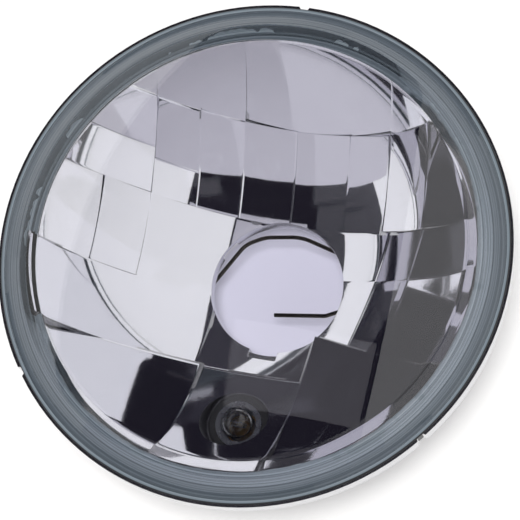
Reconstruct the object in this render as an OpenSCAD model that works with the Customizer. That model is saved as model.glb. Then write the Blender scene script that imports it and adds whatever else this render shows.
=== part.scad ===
// Headlight insert, 5 3/4 inch class, for a motorcycle: a domed pressed glass glued into the
// gutter of a free-form aluminised steel reflector, with a crimped lamp seat for a 43 mm flange
// lamp, a swinging spring wire lamp clip and a bayonet pilot lamp in a rubber grommet.
// Frame: the optical axis is the Y axis, the lens faces -Y, +Z is up, and the origin is on
// the axis in the plane of the rim's rear face, which seats in the headlamp shell.

/* [Rim and glass] */
// Outer diameter of the reflector rim
rim_d = 146; // [140:0.5:156]
// Height of the rim gutter's outer wall, front to back
rim_h = 4.2; // [3.6:0.1:6]
// Thickness of the reflector sheet
sheet_t = 0.8; // [0.6:0.05:1]
// Width of the gutter floor between its two walls
gutter_w = 7.4; // [6.6:0.1:8.4]
// Thickness of the pressed glass
glass_t = 3.2; // [2.6:0.1:3.8]
// Outer radius of curvature of the glass dome
dome_r = 180; // [150:5:260]
// Height of the glass shoulder in front of the sealing line
shoulder_h = 3.8; // [3:0.1:5]
// Width of the flat glass flange outside the crease
flange_w = 2.2; // [1.6:0.1:3]
// Width of the sloping glass wall between crease and shoulder
wall_w = 3.5; // [2.8:0.1:4.5]
// Thickness of the sealing compound round the glass
seal_t = 0.8; // [0.5:0.1:1.2]

/* [Reflector] */
// Distance of the mirror's edge in front of the rim seat
edge_front = 1.6; // [1:0.1:2]
// Width of the flat ring between the mirror and the gutter
mirror_lip = 1.9; // [1.4:0.1:2.4]
// Depth of the paraboloid's vertex behind the rim seat
vertex_y = 37.5; // [34:0.5:42]
// Lowest height of the row of top facets
row_top = 42.9; // [40:0.1:46]
// Height of the ledge over the middle band
row_mid = 18.6; // [16:0.1:21]
// Height of the joint line right of the lamp
row_right = 4.8; // [2:0.1:8]
// Height of the joint line left of the lamp
row_left = -5.6; // [-9:0.1:-3]
// Height of the shelf over the pilot lamp
row_shelf = -27.9; // [-30:0.1:-25]
// Pitch of the narrow upright facets beside the axis
facet_w = 12; // [11:0.1:13]
// Slope of the kinked edge of the shelf on the right
kink_angle = 14; // [10:1:18]
// Slant of the facet edges right of the lamp
slant_angle = 10; // [6:1:14]
// Step in depth between neighbouring facets
facet_step = 0.35; // [0.1:0.05:0.5]

/* [Lamp seat] */
// Diameter of the lamp opening
lamp_d = 39.2; // [37:0.1:41]
// Length of the crimped neck behind the mirror
neck_h = 4.8; // [4.2:0.1:6]
// Width of the wide key notch at the bottom
key_w = 8.5; // [7:0.1:10]
// Width of the two upper key notches
side_key_w = 6.2; // [5:0.1:7]
// Depth of the key notches beyond the lamp opening
key_depth = 2.4; // [1.8:0.1:2.8]
// Outer diameter of the seat collar
collar_d = 66; // [64:0.5:70]
// Thickness of the collar's steel
collar_t = 1.2; // [0.8:0.1:1.6]

/* [Lamp clip] */
// Diameter of the spring wire
wire_d = 1.2; // [1:0.1:1.6]
// Distance of the clip wire behind the collar
wire_rise = 3.4; // [2.8:0.1:4.5]
// Distance of the hinge line from the lamp opening's edge
hinge_gap = 5.2; // [4.6:0.1:6.2]
// Distance of the clip's catching stretch from the lamp opening's edge
catch_gap = 8.4; // [7.6:0.1:9]
// Radial clearance of the wire in its bracket
hinge_clear = 0.05; // [0.02:0.01:0.1]
// Thickness of the bracket and catch sheet
bracket_t = 1; // [0.8:0.1:1.2]

/* [Pilot lamp] */
// Distance of the pilot lamp's axis from the collar's edge
pilot_gap = 10.6; // [10.2:0.1:12]
// Inner diameter of the pilot neck
pilot_neck_d = 18.8; // [17.6:0.1:20]
// Depth of the pilot neck's end behind the rim seat
pilot_neck_y = 27; // [26:0.5:30]
// Outer diameter of the pilot socket
socket_d = 13.2; // [12.6:0.1:13.8]
// Length of the pilot socket
socket_l = 21; // [20:0.5:24]
// Diameter of the pilot lamp's glass
pilot_glass_d = 8.7; // [8:0.1:9]
// Length of the pilot lamp's glass in front of its cap
pilot_glass_l = 10.5; // [9:0.1:12]
// Wall of the pilot lamp's glass
bulb_wall = 0.6; // [0.4:0.05:0.8]
// Diameter of the pilot lamp's bayonet cap
cap_d = 9.1; // [8.8:0.05:9.2]
// Length of the pilot lamp's bayonet cap
cap_l = 9; // [8:0.1:10]
// Depth of the cap's front edge in the socket
cap_depth = 5.5; // [5:0.1:6.5]
// Height of the rubber grommet behind the pilot neck
grommet_h = 5.4; // [4:0.1:7]
// Width of the grommet's flange beyond the pilot neck
grommet_lip = 1.4; // [1.2:0.1:1.6]
// Width of the blade terminals
blade_w = 6.3; // [4.8:0.1:6.3]

/* [Hidden] */
$fn = 96;

rim_r = rim_d / 2;
gutter_out = rim_r - sheet_t;
gutter_in = gutter_out - gutter_w;
mirror_r = gutter_in - mirror_lip;
glass_r = gutter_out - seal_t;
seal_line_y = -rim_h + 0.2;
fold_y = -rim_h + 2;
locating_r = 1.5;
neck_lip = 0.8;
crease_r = glass_r - flange_w;
shoulder_r = crease_r - wall_w;
crease_y = seal_line_y - 1.1;
shoulder_y = seal_line_y - shoulder_h;
dome_y = shoulder_y + sqrt(dome_r * dome_r - shoulder_r * shoulder_r);
glass_back_y = -sheet_t - seal_t;
glass_lip_r = gutter_in + sheet_t + 0.4;
inner_shoulder_r = shoulder_r - glass_t;
inner_dome_r = dome_r - glass_t;

focal = mirror_r * mirror_r / (4 * (vertex_y + edge_front));
lamp_r = lamp_d / 2;
hinge_x = lamp_r + hinge_gap;
catch_wire_x = lamp_r + catch_gap;
neck_out_r = lamp_r + sheet_t;
mouth_y = vertex_y - lamp_r * lamp_r / (4 * focal);
seat_y = mouth_y + neck_h;
floor_y = seat_y - sheet_t;
collar_r = collar_d / 2;
wire_r = wire_d / 2;
bend_lap = 0.15;
bend_swell = 0.012;
wire_y = floor_y + wire_rise;
flare_r = neck_out_r + 1;
key_reach_r = lamp_r + key_depth;

rivet_r = 1.25;
rivet_head_r = 1.9;
rivet_head_t = 0.6;
ear_r = 2;
ear_gap = 6.6;
bracket_z = -12.5;
axle_low = bracket_z - ear_gap / 2 - bracket_t - 1.5;
catch_z = 4.5;
catch_w = 6.4;
catch_rivet_x = lamp_r + 5.2;

pilot_drop = collar_r + pilot_gap;
pilot_tube_r = pilot_neck_d / 2;
socket_r = socket_d / 2;
socket_t = 0.6;
socket_y = pilot_neck_y - sheet_t - 2.2;
socket_end = socket_y + socket_l;
cap_r = cap_d / 2;
cap_y = socket_y + cap_depth;
cap_end = cap_y + cap_l;
pin_y = cap_y + 0.55 * cap_l;
solder_end = cap_end + 1.7;
bulb_r = pilot_glass_d / 2;
glass_tip_y = cap_y - pilot_glass_l;
stem_x = 1.4;
stem_wire_r = 0.25;
filament_y = cap_y - 0.8 * pilot_glass_l;
plate_t = 2;
plate_y = socket_end - socket_t - plate_t;
plunger_t = 0.7;
blade_t = 0.8;
blade_hole_r = 0.85;

turns = 2;
coil_r = 1.75;
coil_wire = 0.18;
coil_steps = 24 * turns;
coil_sides = 8;

facet_lap = 0.03;
column = [-4.2 * facet_w, -3.25 * facet_w, -2.28 * facet_w, -1.27 * facet_w, 0,
    1.35 * facet_w, 2.41 * facet_w, 3.47 * facet_w];
row_high_left = row_top - 12.5;
row_low_left = row_top - 15.1;
lower_column = -17.2;
riser_x = 14.5;
kink_x = 16.8;
kink_z = -13.5;
far = mirror_r + 7;

// Depth of the base paraboloid at a point of the XZ plane
function bowl_y(x, z) = vertex_y - (x * x + z * z) / (4 * focal);
// Height of the kinked shelf edge at x
function kink_at(x) = kink_z - (x - kink_x) * tan(kink_angle);
// Place of the slanted facet edges right of the lamp at height z, counted from the ledge
function slant_at(x, z) = x - (row_mid - z) * tan(slant_angle);

// Each facet is [corner points, touching point in facet widths, ball radius in focal lengths, steps]
slant_a = column[6] + 2.6;
slant_b = column[7] + 0.8;
FACETS = [
    [quad(-far, column[1], row_top, far), [-3.58, 3.92], 4.27, 0],
    [quad(column[1], column[2], row_top, far), [-2.75, 4.00], 3.64, 1],
    [quad(column[2], column[3], row_top, far), [-1.75, 4.25], 3.64, 0],
    [quad(column[3], column[6], row_top, far), [0.58, 4.17], 3.32, 1],
    [quad(column[6], far, row_top, far), [2.92, 3.83], 3.64, 0],
    [quad(-far, column[1], row_high_left, row_top), [-3.75, 3.00], 3.64, 1],
    [quad(column[1], column[2], row_low_left, row_top), [-2.75, 2.92], 3.32, 2],
    [quad(column[2], column[3], row_mid, row_top), [-1.75, 2.50], 2.85, 1],
    [quad(column[3], column[4], row_mid, row_top), [-0.67, 2.50], 2.77, 0],
    [quad(column[4], column[5], row_mid, row_top), [0.67, 2.50], 2.77, 1],
    [quad(column[5], column[6], row_mid, row_top), [1.83, 2.50], 2.92, 0],
    [quad(column[6], column[7], row_mid, row_top), [2.92, 2.50], 1.98, 1],
    [quad(column[7], far, row_mid, row_top), [4.17, 2.50], 3.64, 0],
    [quad(-far, column[1], row_mid, row_high_left), [-4.08, 2.08], 3.64, 0],
    [quad(column[1], column[2], row_mid, row_low_left), [-2.75, 1.92], 2.92, 1],
    [quad(-far, column[0], row_left, row_mid), [-4.58, 0.50], 3.64, 1],
    [quad(column[0], column[1], row_left, row_mid), [-3.75, 0.50], 3.32, 0],
    [quad(column[1], 0, row_left, row_mid), [-2.33, 0.50], 2.61, 2],
    [leaning(-1, slant_a, row_right, row_mid), [2.00, 1.00], 2.45, 1],
    [leaning(slant_a, slant_b, row_right, row_mid), [3.00, 1.00], 1.98, 2],
    [leaning(slant_b, far, row_right, row_mid), [4.33, 1.00], 3.40, 1],
    [kinked(-1, slant_a, row_right), [2.00, -0.42], 2.45, 0],
    [kinked(slant_a, slant_b, row_right), [2.83, -0.67], 2.92, 1],
    [kinked(slant_b, far, row_right), [4.17, -0.67], 3.40, 0],
    [quad(-far, lower_column, row_shelf, row_left), [-3.17, -1.42], 3.08, 1],
    [quad(lower_column, riser_x, row_shelf, row_left), [-0.17, -2.00], 2.45, 2],
    [quad(-far, column[3], -far, row_shelf), [-3.00, -3.50], 3.64, 0],
    [quad(column[3], riser_x, -far, row_shelf), [0.00, -3.83], 3.40, 0],
    [below_kink(riser_x, far), [3.17, -3.00], 3.64, 0]
];

// Corners of an upright facet, grown by g on every side
function quad(x0, x1, z0, z1) = [[x0, z0, -1, -1], [x1, z0, 1, -1], [x1, z1, 1, 1], [x0, z1, -1, 1]];
// Corners of a facet between two slanted edges; -1 and far stand for the lamp and the rim
function leaning(xa, xb, z0, z1) = let (
        left = xa == -1 ? [0, 0] : [slant_at(xa, z0), slant_at(xa, z1)],
        right = xb == far ? [far, far] : [slant_at(xb, z0), slant_at(xb, z1)])
    [[left[0], z0, -1, -1], [right[0], z0, 1, -1], [right[1], z1, 1, 1], [left[1], z1, -1, 1]];
// The same, with the kinked shelf edge as its lower side
function kinked(xa, xb, z1) = let (
        base = kink_z - 6,
        x0 = xa == -1 ? riser_x : slant_at(xa, base),
        x1 = xb == far ? far : slant_at(xb, base),
        top0 = xa == -1 ? 0 : slant_at(xa, z1),
        top1 = xb == far ? far : slant_at(xb, z1))
    xa == -1
        ? [[0, row_left, -1, -1], [riser_x, row_left, 0, -1], [riser_x, kink_at(riser_x), 0, -1],
            [x1, kink_at(x1), 1, -1], [top1, z1, 1, 1], [0, z1, -1, 1]]
        : [[x0, kink_at(x0), -1, -1], [x1, kink_at(x1), 1, -1], [top1, z1, 1, 1], [top0, z1, -1, 1]];
// The facet below the kinked shelf edge
function below_kink(x0, x1) = [[x0, -far, -1, -1], [x1, -far, 1, -1], [x1, kink_at(x1), 1, 1],
    [x0, kink_at(x0), -1, 1]];

// A solid of the outline along Y from y0 to y1
module along_y(y0, y1) {
    translate([0, y1, 0]) rotate([90, 0, 0]) linear_extrude(y1 - y0) children();
}

// A ring turned about the Y axis from a profile of [radius, y] points
module turned(points) {
    rotate([-90, 0, 0]) rotate_extrude() polygon(points);
}

// A round bar along Y from y0 to y1
module bar(r, y0, y1) {
    translate([0, y1, 0]) rotate([90, 0, 0]) cylinder(r = r, h = y1 - y0);
}

// Ball that touches the base paraboloid at a point, so that its far side is one mirror facet
module facet_ball(at, radius, depth) {
    slope = [at[0] / (2 * focal), 1, at[1] / (2 * focal)];
    n = slope / norm(slope);
    touch = [at[0], bowl_y(at[0], at[1]) + depth * facet_step, at[1]];
    translate(touch - radius * n) children();
}

// The reflector's cavity as the union of all facets; grow swells it by the sheet's thickness
module facet_bowl(grow, front_y) {
    lap = max(grow, facet_lap);
    intersection() {
        union() for (f = FACETS) {
            intersection() {
                along_y(front_y, vertex_y + 8)
                    polygon([for (p = f[0]) [p[0] + lap * p[2], p[1] + lap * p[3]]]);
                facet_ball(f[1] * facet_w, f[2] * focal, f[3]) sphere(r = f[2] * focal + grow);
            }
        }
        bar(mirror_r + grow, front_y - 1, vertex_y + 9);
    }
}

// The outline of the key notches, r is how far they reach from the axis
module key_outline(width, angle, reach) {
    rotate(angle) translate([lamp_r - 3, -width / 2]) square([reach - lamp_r + 3, width]);
}

// The wide notch, and with side keys both upper ones too
module key_notches(y0, y1, side_keys) {
    spread = side_keys ? 0.01 : 0;
    along_y(y0, y1) {
        key_outline(key_w, -90, key_reach_r + spread);
        if (side_keys) for (a = [30, 150]) key_outline(side_key_w, a, key_reach_r + spread);
    }
}

module lens() {
    color([0.85, 0.9, 0.92, 0.35]) difference() {
        union() {
            intersection() {
                translate([0, dome_y, 0]) sphere(r = dome_r);
                bar(shoulder_r, shoulder_y - 30, shoulder_y + 2);
            }
            turned([[0, shoulder_y + 1], [shoulder_r, shoulder_y], [crease_r, crease_y],
                [glass_r, seal_line_y - 0.5], [glass_r, glass_back_y], [0, glass_back_y]]);
        }
        intersection() {
            translate([0, dome_y, 0]) sphere(r = inner_dome_r);
            bar(inner_shoulder_r, shoulder_y - 30, glass_back_y + 1);
        }
        turned([[0, shoulder_y + glass_t], [inner_shoulder_r, shoulder_y + glass_t],
            [glass_lip_r, glass_back_y + 0.01], [glass_lip_r, glass_back_y + 2], [0, glass_back_y + 2]]);
    }
}

module sealant() {
    lip = glass_r + seal_t;
    color([0.06, 0.06, 0.06]) difference() {
        turned([[glass_lip_r - 0.2, -sheet_t], [lip, -sheet_t], [lip, -rim_h - 0.05],
            [lip + sheet_t * 0.7, -rim_h - 0.05], [lip + sheet_t * 0.5, -rim_h - 0.5],
            [glass_r + 0.1, -rim_h - 0.75], [glass_r - 0.7, -rim_h - 0.45],
            [glass_r - 0.5, glass_back_y], [glass_lip_r - 0.2, glass_back_y]]);
        turned([[crease_r, crease_y], [glass_r, seal_line_y - 0.5], [glass_r, glass_back_y],
            [glass_lip_r, glass_back_y], [glass_lip_r, crease_y]]);
    }
}

// The pressed sheet behind the facets, as thick everywhere as the sheet
module facet_shell() {
    difference() {
        facet_bowl(sheet_t, fold_y);
        facet_bowl(0, -rim_h - 3);
    }
}

// The gutter that the glass is glued into, folded from the mirror's edge
module rim_gutter() {
    difference() {
        turned([[mirror_r - 0.6, 2 * sheet_t - edge_front], [mirror_r - 0.6, fold_y], [gutter_in, fold_y],
            [gutter_in + sheet_t, fold_y + 0.6], [gutter_in + sheet_t, -sheet_t], [gutter_out, -sheet_t],
            [gutter_out, -rim_h], [rim_r, -rim_h], [rim_r, 0], [gutter_in, 0],
            [gutter_in - 0.4, 2.75 * sheet_t - edge_front]]);
        bar(mirror_r, -rim_h - 6, 5);
        for (a = [-38, 90, 218]) rotate([0, -a, 0]) translate([rim_r + 0.4, 1, 0])
            rotate([90, 0, 0]) cylinder(r = locating_r, h = rim_h + 3);
    }
}

// The lamp neck with its flared end and the pilot neck with its lipped end, trimmed to the mirror
module necks() {
    difference() {
        union() {
            bar(neck_out_r, mouth_y - 3, seat_y);
            bar(flare_r, floor_y, seat_y);
            at_pilot() bar(pilot_tube_r + sheet_t, bowl_y(0, pilot_drop) - 12, pilot_neck_y);
        }
        facet_bowl(0, -rim_h - 3);
    }
}

module reflector() {
    color([0.82, 0.82, 0.85]) difference() {
        union() {
            facet_shell();
            rim_gutter();
            necks();
        }
        bar(lamp_r, mouth_y - 12, vertex_y + 9);
        key_notches(mouth_y - 5, seat_y + 1, false);
        key_notches(floor_y - 1.5, seat_y + 1, true);
        at_pilot() bar(pilot_tube_r, -2, pilot_neck_y - sheet_t);
        at_pilot() bar(pilot_tube_r - neck_lip, -2, pilot_neck_y + 1);
    }
}

module lamp_seat() {
    skirt_y = bowl_y(collar_r, 0) + 3;
    color([0.72, 0.73, 0.74]) difference() {
        union() {
            bar(collar_r, floor_y - collar_t, floor_y);
            difference() {
                bar(collar_r, skirt_y, floor_y);
                bar(collar_r - collar_t, skirt_y - 1, floor_y + 1);
            }
        }
        bar(neck_out_r, floor_y - 10, floor_y + 1);
        key_notches(floor_y - collar_t - 1, floor_y + 1, true);
        for (x = [-hinge_x, catch_rivet_x]) translate([x, 0, x < 0 ? bracket_z : catch_z])
            bar(rivet_r, floor_y - collar_t - 1, floor_y + 1);
    }
}

// A pan-head rivet through the collar and a sheet of thickness t on its back
module rivet(t) {
    bar(rivet_r, floor_y - collar_t, floor_y + t);
    bar(rivet_head_r, floor_y - collar_t - rivet_head_t, floor_y - collar_t);
    translate([0, floor_y + t, 0]) rotate([-90, 0, 0]) cylinder(r1 = rivet_head_r, r2 = 1.3, h = 0.7);
}

module clip_bracket() {
    color([0.7, 0.71, 0.72]) difference() {
        union() {
            translate([-hinge_x - 3, floor_y, bracket_z - ear_gap / 2 - bracket_t])
                cube([6, bracket_t, ear_gap + 2 * bracket_t]);
            for (z = [bracket_z - ear_gap / 2 - bracket_t, bracket_z + ear_gap / 2]) {
                translate([-hinge_x - ear_r, floor_y, z]) cube([2 * ear_r, wire_rise, bracket_t]);
                translate([-hinge_x, wire_y, z]) cylinder(r = ear_r, h = bracket_t);
            }
        }
        translate([-hinge_x, wire_y, bracket_z - 2 * ear_gap])
            cylinder(r = wire_r + hinge_clear, h = 4 * ear_gap);
        translate([-hinge_x, 0, bracket_z]) bar(rivet_r, floor_y - 1, floor_y + bracket_t + 1);
    }
}

module bracket_rivet() {
    color([0.75, 0.75, 0.76]) translate([-hinge_x, 0, bracket_z]) rivet(bracket_t);
}

// The clip's corners as [x, z, bend radius], from the end of its axle round the lamp to its cut end
CLIP = [
    [-hinge_x, axle_low, 0], [-hinge_x, -7, 2.5], [-0.715 * lamp_r, 0.68 * lamp_r, 8],
    [-0.44 * lamp_r, 0.837 * lamp_r, 12], [0.112 * lamp_r, 0.923 * lamp_r, 14],
    [catch_wire_x, 11.1, 2.4], [catch_wire_x, -1.6, 2.4], [0.893 * lamp_r, -2.7, 3],
    [0.725 * lamp_r, -4.4, 3], [-0.046 * lamp_r, -6.5, 0]];

function flat(p) = [p[0], p[1]];
function heading(a, b) = atan2(b[1] - a[1], b[0] - a[0]);
// Angle turned at corner i, in -180 to 180 degrees
function turn_at(p, i) = let (t = heading(p[i], p[i + 1]) - heading(p[i - 1], p[i]))
    t > 180 ? t - 360 : t < -180 ? t + 360 : t;
// Length that a bend takes from the straights on both sides of corner i
function bend_run(p, i) = i == 0 || i == len(p) - 1 ? 0 : p[i][2] * tan(abs(turn_at(p, i)) / 2);

// A round wire bent in the XY plane along the corners p; the bends are a hair thicker than the
// straights, which end inside them
module bent_wire(p, r) {
    for (i = [0 : len(p) - 2]) {
        way = heading(p[i], p[i + 1]);
        back = i == 0 ? 0 : bend_lap;
        ahead = i == len(p) - 2 ? 0 : bend_lap;
        from = flat(p[i]) + (bend_run(p, i) - back) * [cos(way), sin(way)];
        run = norm(flat(p[i + 1]) - flat(p[i])) - bend_run(p, i) - bend_run(p, i + 1) + back + ahead;
        translate([from[0], from[1], 0]) rotate([0, 0, way]) rotate([0, 90, 0]) cylinder(r = r, h = run);
    }
    for (i = [1 : len(p) - 2]) {
        way = heading(p[i - 1], p[i]);
        turn = turn_at(p, i);
        side = turn > 0 ? 1 : -1;
        start = flat(p[i]) - bend_run(p, i) * [cos(way), sin(way)];
        centre = start + side * p[i][2] * [-sin(way), cos(way)];
        translate([centre[0], centre[1], 0]) rotate([0, 0, way - side * 90 + (turn > 0 ? 0 : turn)])
            rotate_extrude(angle = abs(turn)) translate([p[i][2], 0]) circle(r = r + bend_swell);
    }
}

module lamp_clip() {
    color([0.2, 0.19, 0.18]) translate([0, wire_y, 0]) rotate([90, 0, 0]) bent_wire(CLIP, wire_r);
}

module clip_catch() {
    hook_y = wire_y + wire_r + 0.4;
    lip_x = catch_wire_x + wire_r + 0.35;
    wall_x = lip_x + 1.6;
    foot_x = catch_rivet_x - 2.6;
    low_z = catch_z - catch_w / 2;
    color([0.7, 0.71, 0.72]) difference() {
        union() {
            translate([foot_x, floor_y, low_z]) cube([wall_x + bracket_t - foot_x, bracket_t, catch_w]);
            translate([wall_x, floor_y, low_z]) cube([bracket_t, hook_y - floor_y + bracket_t, catch_w]);
            translate([lip_x, hook_y, low_z]) cube([wall_x - lip_x + bracket_t, bracket_t, catch_w]);
        }
        translate([catch_rivet_x, 0, catch_z]) bar(rivet_r, floor_y - 1, floor_y + bracket_t + 1);
    }
}

module catch_rivet() {
    color([0.75, 0.75, 0.76]) translate([catch_rivet_x, 0, catch_z]) rivet(bracket_t);
}

// Puts the pilot lamp's pieces, turned about their own axis, at the pilot lamp
module at_pilot() {
    translate([0, 0, -pilot_drop]) children();
}

module pilot_grommet() {
    lip_y = pilot_neck_y - sheet_t;
    groove_r = pilot_tube_r - neck_lip / 2;
    flange_r = pilot_tube_r + grommet_lip;
    color([0.1, 0.1, 0.1]) at_pilot() turned([[socket_r, lip_y - 1.8], [pilot_tube_r - 1.1, lip_y - 1.8],
        [groove_r, lip_y - 1.2], [groove_r, lip_y], [pilot_tube_r - neck_lip, lip_y],
        [pilot_tube_r - neck_lip, pilot_neck_y], [flange_r, pilot_neck_y],
        [flange_r, pilot_neck_y + 0.3 * grommet_h],
        [pilot_tube_r + 0.3 * grommet_lip, pilot_neck_y + 0.44 * grommet_h],
        [socket_r + 1.15 * grommet_lip, pilot_neck_y + 0.63 * grommet_h],
        [socket_r + 0.85 * grommet_lip, pilot_neck_y + grommet_h], [socket_r, pilot_neck_y + grommet_h]]);
}

module pilot_socket() {
    in_r = socket_r - socket_t;
    sleeve_r = cap_r + 0.2;
    web_y = cap_y + 0.5;
    color([0.78, 0.77, 0.74]) at_pilot() difference() {
        turned([[in_r - 0.9, socket_y], [socket_r, socket_y], [socket_r, socket_end],
            [in_r - 1.2, socket_end], [in_r - 1.2, socket_end - socket_t], [in_r, socket_end - socket_t],
            [in_r, web_y + socket_t], [sleeve_r + socket_t, web_y + socket_t],
            [sleeve_r + socket_t, web_y + 5.6], [sleeve_r, web_y + 5.6], [sleeve_r, web_y], [in_r, web_y],
            [in_r, socket_y + socket_t], [in_r - 0.9, socket_y + socket_t]]);
        for (side = [0, 180]) rotate([0, side, 0]) translate([cap_r - 1, pin_y - 1.2, -1.1])
            cube([2.2, 6, 2.2]);
    }
}

module pilot_cap() {
    color([0.8, 0.68, 0.38]) at_pilot() {
        difference() {
            bar(cap_r, cap_y, cap_end);
            bar(cap_r - 0.5, cap_y - 1, cap_end - 0.8);
        }
        for (side = [0, 180]) rotate([0, side, 0]) translate([cap_r - 0.3, pin_y, 0])
            rotate([0, 90, 0]) cylinder(r = 0.9, h = 1.1);
    }
}

module pilot_glass() {
    plug_end = cap_y + 0.38 * cap_l;
    plug_front = cap_y - 0.8;
    color([0.9, 0.93, 0.95, 0.4]) at_pilot() difference() {
        union() {
            bar(bulb_r, glass_tip_y + bulb_r, cap_y);
            bar(bulb_r - 0.4, cap_y - 0.01, plug_end);
            translate([0, glass_tip_y + bulb_r, 0]) sphere(r = bulb_r);
        }
        bar(bulb_r - bulb_wall, glass_tip_y + bulb_r, plug_front);
        translate([0, glass_tip_y + bulb_r, 0]) sphere(r = bulb_r - bulb_wall);
    }
}

// The glass bridge and the two wires that hold the filament
module pilot_stem() {
    color([0.8, 0.82, 0.85]) at_pilot() {
        for (x = [-stem_x, stem_x]) translate([x, 0, 0]) bar(stem_wire_r, filament_y + 0.2, cap_y - 0.8);
        translate([-stem_x - 0.7, filament_y + 4.4, 0]) rotate([0, 90, 0])
            cylinder(r = 0.7, h = 2 * stem_x + 1.4);
    }
}

module pilot_filament() {
    color([0.5, 0.5, 0.52]) at_pilot() translate([-stem_x, filament_y, 0]) rotate([0, 90, 0])
        cylinder(r = 0.3, h = 2 * stem_x);
}

module pilot_cap_insulator() {
    color([0.08, 0.08, 0.1]) at_pilot() turned([[0, cap_end], [3.4, cap_end], [2.2, cap_end + 0.9],
        [0, cap_end + 0.9]]);
}

module pilot_cap_contact() {
    color([0.75, 0.75, 0.76]) at_pilot() translate([0, cap_end + 0.9, 0]) rotate([-90, 0, 0])
        cylinder(r1 = 1.6, r2 = 1.1, h = solder_end - cap_end - 0.9);
}

module socket_insulator() {
    color([0.3, 0.2, 0.14]) at_pilot() turned([[1.25, plate_y], [socket_r - socket_t, plate_y],
        [socket_r - socket_t, plate_y + plate_t], [1.25, plate_y + plate_t]]);
}

module socket_plunger() {
    color([0.8, 0.68, 0.38]) at_pilot() {
        bar(2.4, solder_end, solder_end + plunger_t);
        bar(1.2, solder_end + plunger_t - 0.1, socket_end + 0.2);
    }
}

// Points on a coil's centre line, and a ring of points round each
function coil_at(i) = let (
        a = 360 * turns * i / coil_steps,
        start = solder_end + plunger_t + coil_wire,
        run = plate_y - start - coil_wire)
    [coil_r * cos(a), start + run * i / coil_steps, coil_r * sin(a)];
function coil_ring(i) = let (a = 360 * turns * i / coil_steps)
    [for (k = [0 : coil_sides - 1]) let (b = 360 * k / coil_sides)
        coil_at(i) + coil_wire * [cos(b) * cos(a), sin(b), cos(b) * sin(a)]];

module plunger_spring() {
    rings = [for (i = [0 : coil_steps]) each coil_ring(i)];
    last = coil_steps * coil_sides;
    sides = [for (i = [0 : coil_steps - 1], k = [0 : coil_sides - 1]) let (m = (k + 1) % coil_sides)
        [i * coil_sides + k, i * coil_sides + m, (i + 1) * coil_sides + m, (i + 1) * coil_sides + k]];
    caps = [[for (k = [coil_sides - 1 : -1 : 0]) k], [for (k = [0 : coil_sides - 1]) last + k]];
    color([0.7, 0.7, 0.72]) at_pilot() polyhedron(points = rings, faces = concat(sides, caps));
}

module live_terminal() {
    foot_y = socket_end + 0.2;
    color([0.8, 0.68, 0.38]) at_pilot() difference() {
        union() {
            bar(2.2, foot_y, foot_y + blade_t);
            translate([-blade_w / 2, foot_y, -blade_t / 2]) cube([blade_w, 8, blade_t]);
        }
        translate([0, foot_y + 5.4, -2]) cylinder(r = blade_hole_r, h = 4);
    }
}

module earth_terminal() {
    color([0.78, 0.77, 0.74]) at_pilot() difference() {
        translate([-blade_w / 2, socket_end - 9, -socket_r - blade_t]) cube([blade_w, 16, blade_t]);
        translate([0, socket_end + 4.2, -socket_r - 2]) cylinder(r = blade_hole_r, h = 4);
    }
}

lens();
sealant();
reflector();
lamp_seat();
clip_bracket();
bracket_rivet();
lamp_clip();
clip_catch();
catch_rivet();
pilot_grommet();
pilot_socket();
pilot_cap();
pilot_glass();
pilot_stem();
pilot_filament();
pilot_cap_insulator();
pilot_cap_contact();
socket_insulator();
socket_plunger();
plunger_spring();
live_terminal();
earth_terminal();
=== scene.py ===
"""Looks of a motorcycle headlight insert: domed glass, faceted mirror, lamp seat, pilot lamp."""

import logging
import math
from dataclasses import dataclass
from enum import Enum

import bpy
import numpy as np
from mathutils import Matrix, Vector


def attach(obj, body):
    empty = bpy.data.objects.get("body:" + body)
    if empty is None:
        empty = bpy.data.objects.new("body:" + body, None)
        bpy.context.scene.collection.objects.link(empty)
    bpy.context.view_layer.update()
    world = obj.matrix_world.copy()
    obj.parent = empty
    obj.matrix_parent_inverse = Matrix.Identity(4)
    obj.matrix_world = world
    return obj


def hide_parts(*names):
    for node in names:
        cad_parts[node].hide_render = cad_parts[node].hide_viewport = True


MM = 0.001
BODY = "insert"
CLIP_BODY = "clip"
LOG = logging.getLogger("headlight")

# Sizes in mm that several pieces share
SHEET_T = 0.8
PILOT_DROP = 43.6
PILOT_TUBE_R = 9.4

# Points that agree to this many decimals of a mm become one point of the mesh
MERGE_DECIMALS = 5

# An edge that rises less than this, in mm, is level, and a corner that turns less, in radians,
# is straight
LEVEL = 1e-9
STRAIGHT = 1e-4

Tree = bpy.types.NodeTree
Socket = bpy.types.NodeSocket
Outline = tuple[tuple[float, float], ...]

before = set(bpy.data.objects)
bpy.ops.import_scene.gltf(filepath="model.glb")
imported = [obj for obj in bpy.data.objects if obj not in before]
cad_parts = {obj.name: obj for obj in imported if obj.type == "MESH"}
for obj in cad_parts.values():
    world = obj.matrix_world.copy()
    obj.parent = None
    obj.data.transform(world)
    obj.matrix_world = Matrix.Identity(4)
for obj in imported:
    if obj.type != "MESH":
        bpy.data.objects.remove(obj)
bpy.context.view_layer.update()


# Colours and shader nodes


def srgb(code: str) -> tuple[float, float, float, float]:
    """Turns an sRGB hex colour into linear red, green, blue and alpha 1.

    Args:
        code: Six hex digits, with or without a leading hash.

    Returns:
        The linear colour with alpha 1.
    """
    raw = np.array([int(code.lstrip("#")[i : i + 2], 16) for i in (0, 2, 4)]) / 255
    low = raw / 12.92
    high = ((raw + 0.055) / 1.055) ** 2.4
    r, g, b = (float(v) for v in np.where(raw <= 0.04045, low, high))
    return r, g, b, 1.0


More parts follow.
